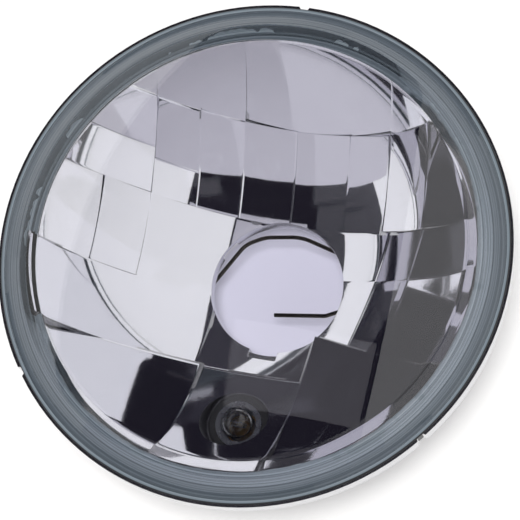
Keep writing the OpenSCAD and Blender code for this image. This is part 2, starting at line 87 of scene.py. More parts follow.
def add_node(
    tree: Tree,
    kind: str,
    inputs: dict[str | int, object] | None = None,
    links: dict[str | int, Socket] | None = None,
    **settings: object,
) -> bpy.types.Node:
    """Adds one shader node with its settings, fixed inputs and incoming links.

    Args:
        tree: The node tree that the node goes into.
        kind: Blender's name of the node type.
        inputs: Fixed values by input name or number.
        links: Output sockets by the name or number of the input that each one feeds.
        **settings: The node's own properties.

    Returns:
        The new node.
    """
    node = tree.nodes.new(kind)
    for name, value in settings.items():
        setattr(node, name, value)
    for key, value in (inputs or {}).items():
        node.inputs[key].default_value = value
    for key, socket in (links or {}).items():
        tree.links.new(socket, node.inputs[key])
    return node


def new_material(name: str) -> tuple[bpy.types.Material, Tree, bpy.types.Node]:
    """Makes an empty node material.

    Args:
        name: The finish's common name.

    Returns:
        The material, its tree and its output node.
    """
    material = bpy.data.materials.new(name)
    material.use_nodes = True
    tree = material.node_tree
    tree.nodes.clear()
    return material, tree, add_node(tree, "ShaderNodeOutputMaterial")


def ranged(
    tree: Tree,
    value: Socket,
    span: tuple[float, float] = (0.0, 1.0),
    onto: tuple[float, float] = (0.0, 1.0),
) -> Socket:
    """Carries a value from one span to another and holds it at the ends.

    The node's inputs 1 to 4 are the ends of the two spans.

    Args:
        tree: The node tree.
        value: The socket that gives the value.
        span: Where the value starts and ends.
        onto: What it becomes there.

    Returns:
        The socket of the result.
    """
    ends = dict(enumerate((*span, *onto), 1))
    return add_node(tree, "ShaderNodeMapRange", ends, {0: value}).outputs[0]


def mixed(tree: Tree, first: str | Socket, second: str, share: Socket) -> Socket:
    """Mixes two colours: the first where the share is 0, the second where it is 1.

    The node's colours are its inputs 6 and 7 and its output 2.

    Args:
        tree: The node tree.
        first: A hex colour, or the socket of a colour.
        second: A hex colour.
        share: The socket that gives the share.

    Returns:
        The socket of the mixed colour.
    """
    node = add_node(tree, "ShaderNodeMix", {7: srgb(second)}, {0: share}, data_type="RGBA")
    if isinstance(first, str):
        node.inputs[6].default_value = srgb(first)
    else:
        tree.links.new(first, node.inputs[6])
    return node.outputs[2]


def grained(
    tree: Tree,
    size_mm: float,
    bump_mm: float,
    layers: tuple[float, float],
    stretch: tuple[float, float, float] = (1.0, 1.0, 1.0),
) -> tuple[Socket, Socket]:
    """Adds soft patches in the object's own coordinates, and the low bumps that they make.

    Args:
        tree: The node tree.
        size_mm: Size of the patches.
        bump_mm: Height of the bumps.
        layers: Number of finer layers, and the strength of each beside the one before it.
        stretch: How much the patches are squeezed along each axis.

    Returns:
        The sockets of the patches' height and of the bumped normal.
    """
    where = add_node(tree, "ShaderNodeTexCoord")
    placed = add_node(
        tree, "ShaderNodeMapping", {"Scale": stretch}, {"Vector": where.outputs["Object"]}
    )
    patches = add_node(
        tree,
        "ShaderNodeTexNoise",
        {"Scale": 1 / (size_mm * MM), "Detail": layers[0], "Roughness": layers[1]},
        {"Vector": placed.outputs["Vector"]},
    )
    bump = add_node(
        tree,
        "ShaderNodeBump",
        {"Strength": 1.0, "Distance": bump_mm * MM},
        {"Height": patches.outputs["Fac"]},
    )
    return patches.outputs["Fac"], bump.outputs["Normal"]


def distance(tree: Tree, operation: str, vector: tuple[float, float, float]) -> Socket:
    """Length of the object's own coordinates after one step of vector arithmetic.

    Args:
        tree: The node tree.
        operation: MULTIPLY or ADD.
        vector: What the coordinates are multiplied by or what is added to them.

    Returns:
        The socket of the length in metres.
    """
    kind = "ShaderNodeVectorMath"
    where = add_node(tree, "ShaderNodeTexCoord")
    moved = add_node(tree, kind, {1: vector}, {0: where.outputs["Object"]}, operation=operation)
    return add_node(tree, kind, None, {0: moved.outputs[0]}, operation="LENGTH").outputs["Value"]


def blended(
    tree: Tree, share: Socket, first: bpy.types.Node, second: bpy.types.Node
) -> bpy.types.Node:
    """Mixes two shader nodes: the first where the share is 0, the second where it is 1."""
    links = {0: share, 1: first.outputs[0], 2: second.outputs[0]}
    return add_node(tree, "ShaderNodeMixShader", None, links)


def shown_rays(tree: Tree) -> Socket:
    """Tells the rays that the camera, gloss and glass send from those that gather light.

    Args:
        tree: The node tree.

    Returns:
        A socket that is 1 for the first kind and 0 for the second.
    """
    path = add_node(tree, "ShaderNodeLightPath")
    shown = path.outputs["Is Camera Ray"]
    for kind in ("Is Glossy Ray", "Is Transmission Ray"):
        links = {0: shown, 1: path.outputs[kind]}
        shown = add_node(tree, "ShaderNodeMath", None, links, operation="MAXIMUM").outputs[0]
    return shown


# Finishes


@dataclass(frozen=True)
class Metal:
    """A metal surface with fine unevenness of gloss and shape.

    swing is how much the roughness varies over the soft patches, grain_mm is the patches' size,
    bump_mm is their height, and layers is as in the function grained.
    """

    name: str
    colour: str
    shade: str
    roughness: float
    swing: float
    grain_mm: float
    bump_mm: float
    layers: tuple[float, float] = (4.0, 0.6)

    def material(self) -> bpy.types.Material:
        """Builds the node material.

        Returns:
            The new material.
        """
        material, tree, out = new_material(self.name)
        patches, normal = grained(tree, self.grain_mm, self.bump_mm, self.layers)
        span = (self.roughness - self.swing, self.roughness + self.swing)
        looks = {
            "Base Color": mixed(tree, self.colour, self.shade, patches),
            "Roughness": ranged(tree, patches, onto=span),
            "Normal": normal,
        }
        shader = add_node(tree, "ShaderNodeBsdfPrincipled", {"Metallic": 1.0}, looks)
        tree.links.new(shader.outputs["BSDF"], out.inputs["Surface"])
        return material


@dataclass(frozen=True)
class Glass:
    """Clear polished glass that lets lamp light through to what lies behind it."""

    name: str
    tint: str
    ior: float

    def material(self) -> bpy.types.Material:
        """Builds the node material; shadow rays pass straight through with the same tint.

        Returns:
            The new material.
        """
        material, tree, out = new_material(self.name)
        tint = srgb(self.tint)
        solid = add_node(
            tree,
            "ShaderNodeBsdfPrincipled",
            {"Base Color": tint, "Roughness": 0.0, "IOR": self.ior, "Transmission Weight": 1.0},
        )
        open_way = add_node(tree, "ShaderNodeBsdfTransparent", {"Color": tint})
        path = add_node(tree, "ShaderNodeLightPath")
        both = blended(tree, path.outputs["Is Shadow Ray"], solid, open_way)
        tree.links.new(both.outputs[0], out.inputs["Surface"])
        return material


@dataclass(frozen=True)
class Dull:
    """A surface of rubber, board or dark glass with grain and small lumps.

    specular is the level of its sheen, stretch is how much the grain is squeezed along each
    axis, and layers is as in the function grained.
    """

    name: str
    colour: str
    shade: str
    roughness: float
    grain_mm: float
    bump_mm: float
    specular: float = 0.5
    stretch: tuple[float, float, float] = (1.0, 1.0, 1.0)
    layers: tuple[float, float] = (6.0, 0.65)

    def material(self) -> bpy.types.Material:
        """Builds the node material.

        Returns:
            The new material.
        """
        material, tree, out = new_material(self.name)
        grain, normal = grained(tree, self.grain_mm, self.bump_mm, self.layers, self.stretch)
        shader = add_node(
            tree,
            "ShaderNodeBsdfPrincipled",
            {"Roughness": self.roughness, "Specular IOR Level": self.specular},
            {"Base Color": mixed(tree, self.colour, self.shade, grain), "Normal": normal},
        )
        tree.links.new(shader.outputs["BSDF"], out.inputs["Surface"])
        return material


@dataclass(frozen=True)
class TwoTone:
    """A set compound of two colours: one in the bed under the glass, one squeezed out round it.

    The bed has fine rings of painted highlight, line_mm apart, which stand in for the glass's
    reflection lines: its colour goes from bed to the lighter ring colour and back, over the
    ring_span of their noise. change_mm is the radius about the Y axis at which the colour changes
    to outer, and soft_mm is half the change's width.
    """

    name: str
    bed: str
    crest: str
    line_mm: float
    outer: str
    change_mm: float
    soft_mm: float
    roughness: float
    grain_mm: float
    bump_mm: float
    ring_span: tuple[float, float] = (0.35, 0.65)
    ring_layers: tuple[float, float] = (2.0, 0.6)
    layers: tuple[float, float] = (3.0, 0.5)

    def material(self) -> bpy.types.Material:
        """Builds the node material; the radius is the length of the position without its y.

        Returns:
            The new material.
        """
        material, tree, out = new_material(self.name)
        radius = distance(tree, "MULTIPLY", (1.0, 0.0, 1.0))
        change = ((self.change_mm - self.soft_mm) * MM, (self.change_mm + self.soft_mm) * MM)
        detail, strength = self.ring_layers
        rings = add_node(
            tree,
            "ShaderNodeTexNoise",
            {"Scale": 1 / (self.line_mm * MM), "Detail": detail, "Roughness": strength},
            {"W": radius},
            noise_dimensions="1D",
        )
        # Painted highlight: lighter rings mixed into the bed colour stand in for the glass's
        # reflection lines
        bed_with_painted_rings = mixed(tree, self.bed, self.crest, ranged(tree, rings.outputs["Fac"], self.ring_span))
        tint = mixed(tree, bed_with_painted_rings, self.outer, ranged(tree, radius, change))
        _, normal = grained(tree, self.grain_mm, self.bump_mm, self.layers)
        shader = add_node(
            tree,
            "ShaderNodeBsdfPrincipled",
            {"Roughness": self.roughness},
            {"Base Color": tint, "Normal": normal},
        )
        tree.links.new(shader.outputs["BSDF"], out.inputs["Surface"])
        return material


class Finish(Enum):
    """The finishes of the insert's pieces."""

    # Vacuum-deposited aluminium under lacquer: a mirror with the faintest waviness
    MIRROR = Metal("deposited_aluminium_mirror", "F0F0F4", "EAEAEF", 0.035, 0.012, 9.0, 0.006)
    # Aluminised sheet as drawn: satin silver, a little cloudy
    SHEET = Metal("aluminised_drawn_sheet", "D9D9DB", "C4C5C8", 0.24, 0.06, 3.0, 0.004)
    # Bright zinc plate: bluish white with soft cloudy patches
    ZINC = Metal("bright_zinc_plate", "C9CCD0", "B4B7BB", 0.28, 0.08, 2.5, 0.006)
    # Oiled spring steel: dark, with a sheen along the drawn wire
    WIRE = Metal("oiled_spring_steel", "5A5652", "3E3B38", 0.34, 0.08, 1.2, 0.004)
    # Plain brass, a little dulled
    BRASS = Metal("plain_brass", "D2AE66", "B8934F", 0.3, 0.08, 2.0, 0.004)
    # Coiled tungsten: dull grey
    TUNGSTEN = Metal("coiled_tungsten", "8C8C90", "747478", 0.4, 0.05, 0.5, 0.002)
    # Soft solder: rounded and slightly frosted
    SOLDER = Metal("soft_solder", "C6C7C9", "A6A7AA", 0.35, 0.08, 0.8, 0.01)
    # Pressed soda glass: clear, with the faintest trace of blue
    LENS = Glass("pressed_soda_glass", "FCFCFE", 1.5)
    # Blown bulb glass: clear and thin
    BULB = Glass("blown_bulb_glass", "FBFBFD", 1.48)
    # Set sealing compound: slate grey where the glass wets it, with lighter rings of painted
    # highlight in it, black and softly shining outside
    MASTIC = TwoTone(
        "set_sealing_compound", "5F6A72", "8E989F", 0.5, "161618", 71.95, 0.08, 0.42, 2.5, 0.02
    )
    # Moulded rubber: dark and matt with a fine bloom
    RUBBER = Dull("moulded_rubber", "232324", "303032", 0.6, 0.9, 0.015, 0.35)
    # Laminated paper board: brown with drawn-out fibres
    BOARD = Dull("laminated_paper_board", "6A4426", "4E3220", 0.5, 0.8, 0.01, 0.4, (1, 4, 1))
    # Fused black glass round the lamp's contact: dark and glossy
    BLACK_GLASS = Dull("fused_black_glass", "101014", "18181C", 0.12, 2.0, 0.004)


class Finishes:
    """Makes each finish's material once and hands it out."""

    def __init__(self) -> None:
        """Starts with nothing made."""
        self.made: dict[Finish, bpy.types.Material] = {}

    def get(self, finish: Finish) -> bpy.types.Material:
        """Gives the material of a finish and makes it the first time.

        Args:
            finish: The finish.

        Returns:
            Its material.
        """
        if finish not in self.made:
            self.made[finish] = finish.value.material()
        return self.made[finish]


# Surfaces


@dataclass
class Surface:
    """A surface as arrays: points in mm, four-cornered faces, and exact normals where known."""

    points: np.ndarray
    faces: np.ndarray
    normals: np.ndarray | None = None

    def flipped(self) -> "Surface":
        """Returns the surface with its faces turned over."""
        normals = None if self.normals is None else -self.normals
        return Surface(self.points, self.faces[:, ::-1], normals)

    def outward(self) -> "Surface":
        """Turns a closed surface's faces outward, by the sign of the volume that they enclose.

        Returns:
            The surface, turned over if its faces pointed inward.
        """
        a, b, c, d = (self.points[self.faces[:, i]] for i in range(4))
        volume = np.einsum("ij,ij->", a, np.cross(b, c)) + np.einsum("ij,ij->", a, np.cross(c, d))
        return self if volume > 0 else self.flipped()


def joined(parts: list[Surface]) -> Surface:
    """Puts several surfaces into one, each keeping its own points.

    Args:
        parts: The surfaces.

    Returns:
        One surface, with normals if every part has them.
    """
    starts = np.cumsum([0] + [len(p.points) for p in parts[:-1]])
    normals = None
    if all(p.normals is not None for p in parts):
        normals = np.vstack([p.normals for p in parts])
    points = np.vstack([p.points for p in parts])
    return Surface(points, np.vstack([p.faces + s for p, s in zip(parts, starts)]), normals)


def grid_faces(rows: int, columns: int, wrap_rows: bool, wrap_columns: bool) -> np.ndarray:
    """Faces of a grid of points stored row after row.

    Args:
        rows: Number of rows.
        columns: Number of points in a row.
        wrap_rows: Whether the last row joins the first.
        wrap_columns: Whether each row closes on itself.

    Returns:
        An array of four point indices per face.
    """
    i = np.arange(rows if wrap_rows else rows - 1)
    j = np.arange(columns if wrap_columns else columns - 1)
    i, j = (v.ravel() for v in np.meshgrid(i, j, indexing="ij"))
    ni, nj = (i + 1) % rows, (j + 1) % columns
    return np.stack([i * columns + j, ni * columns + j, ni * columns + nj, i * columns + nj], 1)


def turned(profile: np.ndarray, segments: int, closed: bool = True) -> Surface:
    """Turns a profile about the Y axis.

    The point of profile row (r, y) at angle a is (r cos a, y, r sin a). A row on the axis
    makes a pole, whose points are merged when the mesh is made.

    Args:
        profile: Rows of radius and y in mm.
        segments: Number of steps round the axis.
        closed: Whether the profile's last row joins its first.

    Returns:
        The turned surface, pointing outward if it is closed.
    """
    angle = np.arange(segments) * (2 * np.pi / segments)
    r, y = profile[:, 0][:, None], profile[:, 1][:, None]
    points = np.stack([r * np.cos(angle), y + 0 * angle, r * np.sin(angle)], -1).reshape(-1, 3)
    surface = Surface(points, grid_faces(len(profile), segments, closed, True))
    return surface.outward() if closed or float(profile[[0, -1], 0].max()) == 0 else surface


def swept(path: np.ndarray, radii: np.ndarray, sides: int, up: np.ndarray) -> Surface:
    """Carries a circle along a path.

    Each ring is centre + radius * (cos t * u + sin t * v), where u is the up direction made
    square to the path's tangent and v is tangent x u. Radii of zero close the ends.

    Args:
        path: Points of the centre line in mm.
        radii: The radius at each point.
        sides: Number of points round the circle.
        up: A direction that is never along the path, for each point or for all.

    Returns:
        The tube, pointing outward.
    """
    tangent = np.gradient(path, axis=0)
    tangent /= np.linalg.norm(tangent, axis=1)[:, None]
    u = np.broadcast_to(up, path.shape) - tangent * (tangent * up).sum(1)[:, None]
    u /= np.linalg.norm(u, axis=1)[:, None]
    v = np.cross(tangent, u)
    t = np.arange(sides) * (2 * np.pi / sides)
    ring = np.cos(t)[None, :, None] * u[:, None] + np.sin(t)[None, :, None] * v[:, None]
    points = path[:, None] + radii[:, None, None] * ring
    surface = Surface(points.reshape(-1, 3), grid_faces(len(path), sides, False, True))
    return surface.outward()


def rounded(corners: list[tuple[float, float, float]], step: float) -> np.ndarray:
    """Walks a line of corners, each replaced by an arc of its own radius.

    Args:
        corners: Rows of (a, b, radius) in mm in the line's own plane.
        step: Largest distance between points on the arcs.

    Returns:
        Points of the rounded line, two numbers each.
    """
    rows = np.array(corners, float)
    out = [rows[0, :2]]
    for before, here, after in zip(rows[:-2], rows[1:-1], rows[2:]):
        corner, radius = here[:2], here[2]
        a = (before - here)[:2] / np.linalg.norm((before - here)[:2])
        b = (after - here)[:2] / np.linalg.norm((after - here)[:2])
        half = math.acos(float(np.clip(-(a @ b), -1, 1))) / 2
        if radius <= 0 or half < STRAIGHT:
            out.append(corner)
            continue
        inward = (a + b) / np.linalg.norm(a + b)
        centre = corner + inward * radius / math.cos(half)
        run = radius * math.tan(half)
        first, last = corner + a * run - centre, corner + b * run - centre
        share = np.linspace(0, 1, max(3, int(2 * half * radius / step) + 2))[:, None]
        from_first, from_last = np.sin((1 - share) * 2 * half), np.sin(share * 2 * half)
        out.extend(centre + (from_first * first + from_last * last) / math.sin(2 * half))
    out.append(rows[-1, :2])
    return np.array(out)


def refined(line: np.ndarray, step: float) -> np.ndarray:
    """Adds points along a line so that none are further apart than a step.

    Args:
        line: The line's points.
        step: The largest distance in mm.

    Returns:
        The line with the added points.
    """
    gaps = np.linalg.norm(np.diff(line, axis=0), axis=1)
    counts = np.maximum(1, np.ceil(gaps / step).astype(int))
    parts = [
        a + (b - a) * np.arange(n)[:, None] / n for a, b, n in zip(line[:-1], line[1:], counts)
    ]
    return np.vstack(parts + [line[-1:]])


def make_piece(
    name: str,
    surface: Surface,
    material: bpy.types.Material,
    body: str = BODY,
) -> bpy.types.Object:
    """Puts a surface into a smooth mesh object that rides on a body.

    Args:
        name: The piece's name.
        surface: Its points in mm and faces; points in one place are merged.
        material: Its finish.
        body: The body that it moves with.

    Returns:
        The new object.
    """
    key = np.round(surface.points, MERGE_DECIMALS)
    _, first, index = np.unique(key, axis=0, return_index=True, return_inverse=True)
    index = index.ravel()
    points = surface.points[first] * MM
    faces = index[surface.faces]
    flat = [list(dict.fromkeys(face)) for face in faces.tolist()]
    flat = [face for face in flat if len(face) > 2]
    mesh = bpy.data.meshes.new(name)
    mesh.from_pydata(points.tolist(), [], flat)
    mesh.polygons.foreach_set("use_smooth", np.ones(len(mesh.polygons), bool))
    mesh.materials.append(material)
    mesh.update()
    if surface.normals is not None:
        mesh.normals_split_custom_set_from_vertices(surface.normals[first].tolist())
    piece = bpy.data.objects.new(name, mesh)
    bpy.context.scene.collection.objects.link(piece)
    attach(piece, body)
    LOG.info("%s: %d points, %d faces", name, len(points), len(flat))
    return piece


# The mirror


@dataclass(frozen=True)
class Facet:
    """One mirror facet: a patch of a ball, seen from inside, over an outline in the XZ plane.

    touch is where the ball touches the paraboloid, in facet widths, ball is its radius in focal
    lengths, steps is how many steps it lies behind the paraboloid, turn is how far the pressing
    left the mirror's direction turned toward +X and +Z, in degrees, and bend is how much of the
    ball's curvature the mirror's direction shows.
    """

    outline: Outline
    touch: tuple[float, float]
    ball: float
    steps: int
    turn: tuple[float, float] = (0.0, 0.0)
    bend: float = 1.0


@dataclass
class FacetedMirror:
    """The faceted reflecting surface in front of the drawn sheet, in mm.

    The sizes repeat those of the solid reflector. skin is how far the coating's surface stands
    in front of the solid, so that it hides the solid's flat triangles, and trim is how far it
    ends inside the mirror's edge.

    A row is the height of a line of facet edges; outer_drop and inner_drop are how far two
    short rows on the left lie below the top one. column_shares are the upright edges in facet
    widths, and lean_shifts are how far the two slanted edges stand beyond the last columns.
    kink_foot is how far below the kink a slanted edge is measured, and beyond is how far the
    outer outlines run past the mirror. pitch is the spacing of the points, samples is the number
    of heights that an outline is tried at, sliver is the narrowest row that counts, nudge is the
    step that measures a slope, and edge_tilt is how far a pressed edge turns the mirror's
    direction, in degrees.
    """

    edge_front: float = 1.6
    vertex_y: float = 37.5
    row_top: float = 42.9
    row_mid: float = 18.6
    row_right: float = 4.8
    row_left: float = -5.6
    row_shelf: float = -27.9
    outer_drop: float = 12.5
    inner_drop: float = 15.1
    facet_w: float = 12.0
    column_shares: tuple[float, ...] = (-4.2, -3.25, -2.28, -1.27, 0.0, 1.35, 2.41, 3.47)
    lean_shifts: tuple[float, float] = (2.6, 0.8)
    kink_angle: float = 14.0
    slant_angle: float = 10.0
    facet_step: float = 0.35
    mirror_r: float = 62.9
    lamp_r: float = 19.6
    key_w: float = 8.5
    key_depth: float = 2.4
    lower_column: float = -17.2
    riser_x: float = 14.5
    kink_x: float = 16.8
    kink_z: float = -13.5
    kink_foot: float = 6.0
    beyond: float = 7.0
    skin: float = 0.08
    trim: float = 0.02
    pitch: float = 0.55
    samples: int = 4001
    sliver: float = 0.02
    rim_rounds: int = 3
    nudge: float = 1e-3
    edge_tilt: float = 7.0

    @property
    def focal(self) -> float:
        """Focal length of the base paraboloid, from the mirror's radius and its depth."""
        return self.mirror_r**2 / (4 * (self.vertex_y + self.edge_front))

    @property
    def far(self) -> float:
        """Where outlines end outside the mirror, which trims them."""
        return self.mirror_r + self.beyond

    def bowl_y(self, x: float, z: float) -> float:
        """Depth of the base paraboloid: the vertex less the squared radius over 4 focal."""
        return self.vertex_y - (x * x + z * z) / (4 * self.focal)

    def kink_at(self, x: float) -> float:
        """Height of the kinked shelf edge at x."""
        return self.kink_z - (x - self.kink_x) * math.tan(math.radians(self.kink_angle))

    def slant_at(self, x: float, z: float) -> float:
        """Place of a slanted facet edge at height z."""
        return x - (self.row_mid - z) * math.tan(math.radians(self.slant_angle))

    def box(self, x0: float, x1: float, z0: float, z1: float) -> Outline:
        """Outline of an upright facet."""
        return (x0, z0), (x1, z0), (x1, z1), (x0, z1)

    def leaning(self, left: float | None, right: float | None, z0: float, z1: float) -> Outline:
        """Outline of a facet between two slanted edges.

        Args:
            left: Its left edge at the middle row, or None for the axis.
            right: Its right edge there, or None for beyond the rim.
            z0: Its lowest height.
            z1: Its highest height.

        Returns:
            Its corners.
        """
        low = [0.0 if left is None else self.slant_at(left, z) for z in (z0, z1)]
        high = [self.far if right is None else self.slant_at(right, z) for z in (z0, z1)]
        return (low[0], z0), (high[0], z0), (high[1], z1), (low[1], z1)

    def kinked(self, left: float | None, right: float | None) -> Outline:
        """Outline of a facet that stands on the kinked shelf edge.

        Args:
            left: Its left edge at the middle row, or None for the riser.
            right: Its right edge there, or None for beyond the rim.

        Returns:
            Its corners.
        """
        top = self.row_right
        heights = (self.kink_z - self.kink_foot, top)
        low = [self.riser_x if left is None else self.slant_at(left, z) for z in heights]
        high = [self.far if right is None else self.slant_at(right, z) for z in heights]
        foot = [(x, self.kink_at(x)) for x in (low[0], high[0])]
        return *foot, (high[1], top), (low[1], top)

    def below_kink(self) -> Outline:
        """Outline of the facet below the kinked shelf edge."""
        x0, x1 = self.riser_x, self.far
        return (x0, -x1), (x1, -x1), (x1, self.kink_at(x1)), (x0, self.kink_at(x0))

    def facets(self) -> list[Facet]:
        """Lists the facets row by row, from the top.

        Returns:
            The facets.
        """
        far = self.far
        c = [self.facet_w * share for share in self.column_shares]
        top, mid, left, shelf = self.row_top, self.row_mid, self.row_left, self.row_shelf
        high, low = top - self.outer_drop, top - self.inner_drop
        a, b = c[6] + self.lean_shifts[0], c[7] + self.lean_shifts[1]
        right, column, riser = self.row_right, self.lower_column, self.riser_x
        return [
            Facet(self.box(-far, c[1], top, far), (-3.58, 3.92), 4.27, 0),
            Facet(self.box(c[1], c[2], top, far), (-2.75, 4.00), 3.64, 1),
            Facet(self.box(c[2], c[3], top, far), (-1.75, 4.25), 3.64, 0, (1.5, 2.5)),
            Facet(self.box(c[3], c[6], top, far), (0.58, 4.17), 3.32, 1, (2.5, 2.5)),
            Facet(self.box(c[6], far, top, far), (2.92, 3.83), 3.64, 0, (4.5, -2.0)),
            Facet(self.box(-far, c[1], high, top), (-3.75, 3.00), 3.64, 1, (-9.0, -10.0)),
            Facet(self.box(c[1], c[2], low, top), (-2.75, 2.92), 3.32, 2, (-4.5, -6.0)),
            Facet(self.box(c[2], c[3], mid, top), (-1.75, 2.50), 2.85, 1, (-10.0, 1.5)),
            Facet(self.box(c[3], c[4], mid, top), (-0.67, 2.50), 2.77, 0, (1.0, 2.5)),
            Facet(self.box(c[4], c[5], mid, top), (0.67, 2.50), 2.77, 1, (6.5, 2.5)),
            Facet(self.box(c[5], c[6], mid, top), (1.83, 2.50), 2.92, 0, (9.0, 0.0)),
            Facet(self.box(c[6], c[7], mid, top), (2.92, 2.50), 1.98, 1, (4.0, 1.5), 0.85),
            Facet(self.box(c[7], far, mid, top), (4.17, 2.50), 3.64, 0, (0.0, -9.0), 0.40),
            Facet(self.box(-far, c[1], mid, high), (-4.08, 2.08), 3.64, 0, (6.5, 5.5)),
            Facet(self.box(c[1], c[2], mid, low), (-2.75, 1.92), 2.92, 1, (-10.0, 1.0)),
            Facet(self.box(-far, c[0], left, mid), (-4.58, 0.50), 3.64, 1),
            Facet(self.box(c[0], c[1], left, mid), (-3.75, 0.50), 3.32, 0),
            Facet(self.box(c[1], 0, left, mid), (-2.33, 0.50), 2.61, 2, (-1.0, 0.0)),
            Facet(self.leaning(None, a, right, mid), (2.00, 1.00), 2.45, 1),
            Facet(self.leaning(a, b, right, mid), (3.00, 1.00), 1.98, 2, (0.0, -7.0), 0.46),
            Facet(self.leaning(b, None, right, mid), (4.33, 1.00), 3.40, 1, (0.0, -8.0), 0.40),
            Facet(self.kinked(None, a), (2.00, -0.42), 2.45, 0, (3.0, -5.0), 0.34),
            Facet(self.kinked(a, b), (2.83, -0.67), 2.92, 1, (0.0, -6.0), 0.70),
            Facet(self.kinked(b, None), (4.17, -0.67), 3.40, 0, (0.0, -6.0), 0.46),
            Facet(self.box(-far, column, shelf, left), (-3.17, -1.42), 3.08, 1, (-2.5, 3.5)),
            Facet(self.box(column, riser, shelf, left), (-0.17, -2.00), 2.45, 2, (-14.0, -4.0), 0.59),
            Facet(self.box(-far, c[3], -far, shelf), (-3.00, -3.50), 3.64, 0, (1.0, -1.0), 0.59),
            Facet(self.box(c[3], riser, -far, shelf), (0.00, -3.83), 3.40, 0, (0.0, -7.0), 0.46),
            Facet(self.below_kink(), (3.17, -3.00), 3.64, 0, (2.0, -2.0), 0.59),
        ]

    def gap(self, x: np.ndarray, z: np.ndarray, back: bool) -> np.ndarray:
        """Distance to the nearest hole's edge, negative inside a hole.

        On the front the holes are the lamp's with its key notch and the pilot lamp's; on the
        back they are the outer walls of the two necks.

        Args:
            x: Places across.
            z: Heights.
            back: Whether this is the sheet's rear side.

        Returns:
            The distances in mm.
        """
        wall = SHEET_T if back else 0.0
        lamp = np.hypot(x, z) - self.lamp_r - wall
        pilot = np.hypot(x, z + PILOT_DROP) - PILOT_TUBE_R - wall
        if back:
            return np.minimum(lamp, pilot)
        dx = np.abs(x) - self.key_w / 2
        dz = np.maximum(z, -self.lamp_r - self.key_depth - z)
        key = np.hypot(np.maximum(dx, 0), np.maximum(dz, 0)) + np.minimum(np.maximum(dx, dz), 0)
        return np.minimum(np.minimum(lamp, pilot), key)

    def span(self, outline: np.ndarray, z: np.ndarray, reach: float) -> tuple[np.ndarray, np.ndarray]:
        """Where rows of the outline, trimmed by the mirror's circle, start and end.

        Args:
            outline: Corners of a convex outline, (x, z) each.
            z: Heights of the rows.
            reach: Radius of the circle.

        Returns:
            The lowest and the highest x of each row; the first is larger where a row is empty.
        """
        a, b = outline, np.roll(outline, -1, axis=0)
        rise = b[:, 1] - a[:, 1]
        slope = np.where(np.abs(rise) > LEVEL, (b[:, 0] - a[:, 0]) / np.where(rise == 0, 1, rise), 0)
        x = a[None, :, 0] + (z[:, None] - a[None, :, 1]) * slope[None]
        left = np.where(rise < -LEVEL, x, -np.inf).max(1)
        right = np.where(rise > LEVEL, x, np.inf).min(1)
        half = np.sqrt(np.maximum(reach * reach - z * z, 0))
        return np.maximum(left, -half), np.minimum(right, half)

    def rows(self, outline: np.ndarray, reach: float) -> tuple[np.ndarray, np.ndarray]:
        """Rows of points across an outline that the mirror's circle trims.

        Args:
            outline: Corners of a convex outline, (x, z) each.
            reach: Radius of the circle.

        Returns:
            The x and the z of the points, each as rows by columns.
        """
        sample = np.linspace(outline[:, 1].min(), outline[:, 1].max(), self.samples)
        low, high = self.span(outline, sample, reach)
        used = sample[(high - low > self.sliver) & (np.abs(sample) < reach)]
        height, width = np.ptp(used), float((high - low).max())
        up, across = (np.linspace(0, 1, max(3, int(v / self.pitch)) + 1) for v in (height, width))
        z = used.min() + up * height
        low, high = self.span(outline, z, reach)
        x = low[:, None] + (high - low)[:, None] * across[None]
        return x, np.broadcast_to(z[:, None], x.shape)

    def holed(self, x: np.ndarray, z: np.ndarray, faces: np.ndarray, back: bool) -> np.ndarray:
        """Drops the faces inside the holes and moves the points beside them onto the edges.

        A point moves against the slope of its distance to the hole by that distance, a few times.

        Args:
            x: Places of the points, which are changed.
            z: Heights of the points, which are changed.
            faces: Four point indices per face.
            back: Whether this is the sheet's rear side.

        Returns:
            The faces that stay.
        """
        keep = self.gap(x, z, back)[faces].mean(1) > 0
        rim = np.intersect1d(faces[~keep], faces[keep])
        e = self.nudge
        for _ in range(self.rim_rounds):
            rx, rz = x[rim], z[rim]
            gap = self.gap(rx, rz, back)
            x[rim] -= gap * (self.gap(rx + e, rz, back) - self.gap(rx - e, rz, back)) / (2 * e)
            z[rim] -= gap * (self.gap(rx, rz + e, back) - self.gap(rx, rz - e, back)) / (2 * e)
        return faces[keep]

    def on_ball(
        self, facet: Facet, x: np.ndarray, z: np.ndarray, back: bool
    ) -> tuple[np.ndarray, np.ndarray]:
        """Lays points on a facet's ball.

        A point (x, z) lies at y = centre_y + sqrt(R^2 - (x - centre_x)^2 - (z - centre_z)^2),
        where R is the ball's radius grown by the sheet or shrunk by the skin.

        Args:
            facet: The facet.
            x: Places of the points.
            z: Heights of the points.
            back: Whether this is the sheet's rear side.

        Returns:
            The points and their exact normals, toward the ball's centre.
        """
        tx, tz = facet.touch[0] * self.facet_w, facet.touch[1] * self.facet_w
        ball = facet.ball * self.focal
        lean = np.array([tx / (2 * self.focal), 1.0, tz / (2 * self.focal)])
        lean /= np.linalg.norm(lean)
        touch = np.array([tx, self.bowl_y(tx, tz) + facet.steps * self.facet_step, tz])
        centre = touch - ball * lean
        radius = ball + (SHEET_T + self.skin if back else -self.skin)
        flat = (x - centre[0]) ** 2 + (z - centre[2]) ** 2
        points = np.stack([x, centre[1] + np.sqrt(radius * radius - flat), z], 1)
        return points, (centre - points) / radius

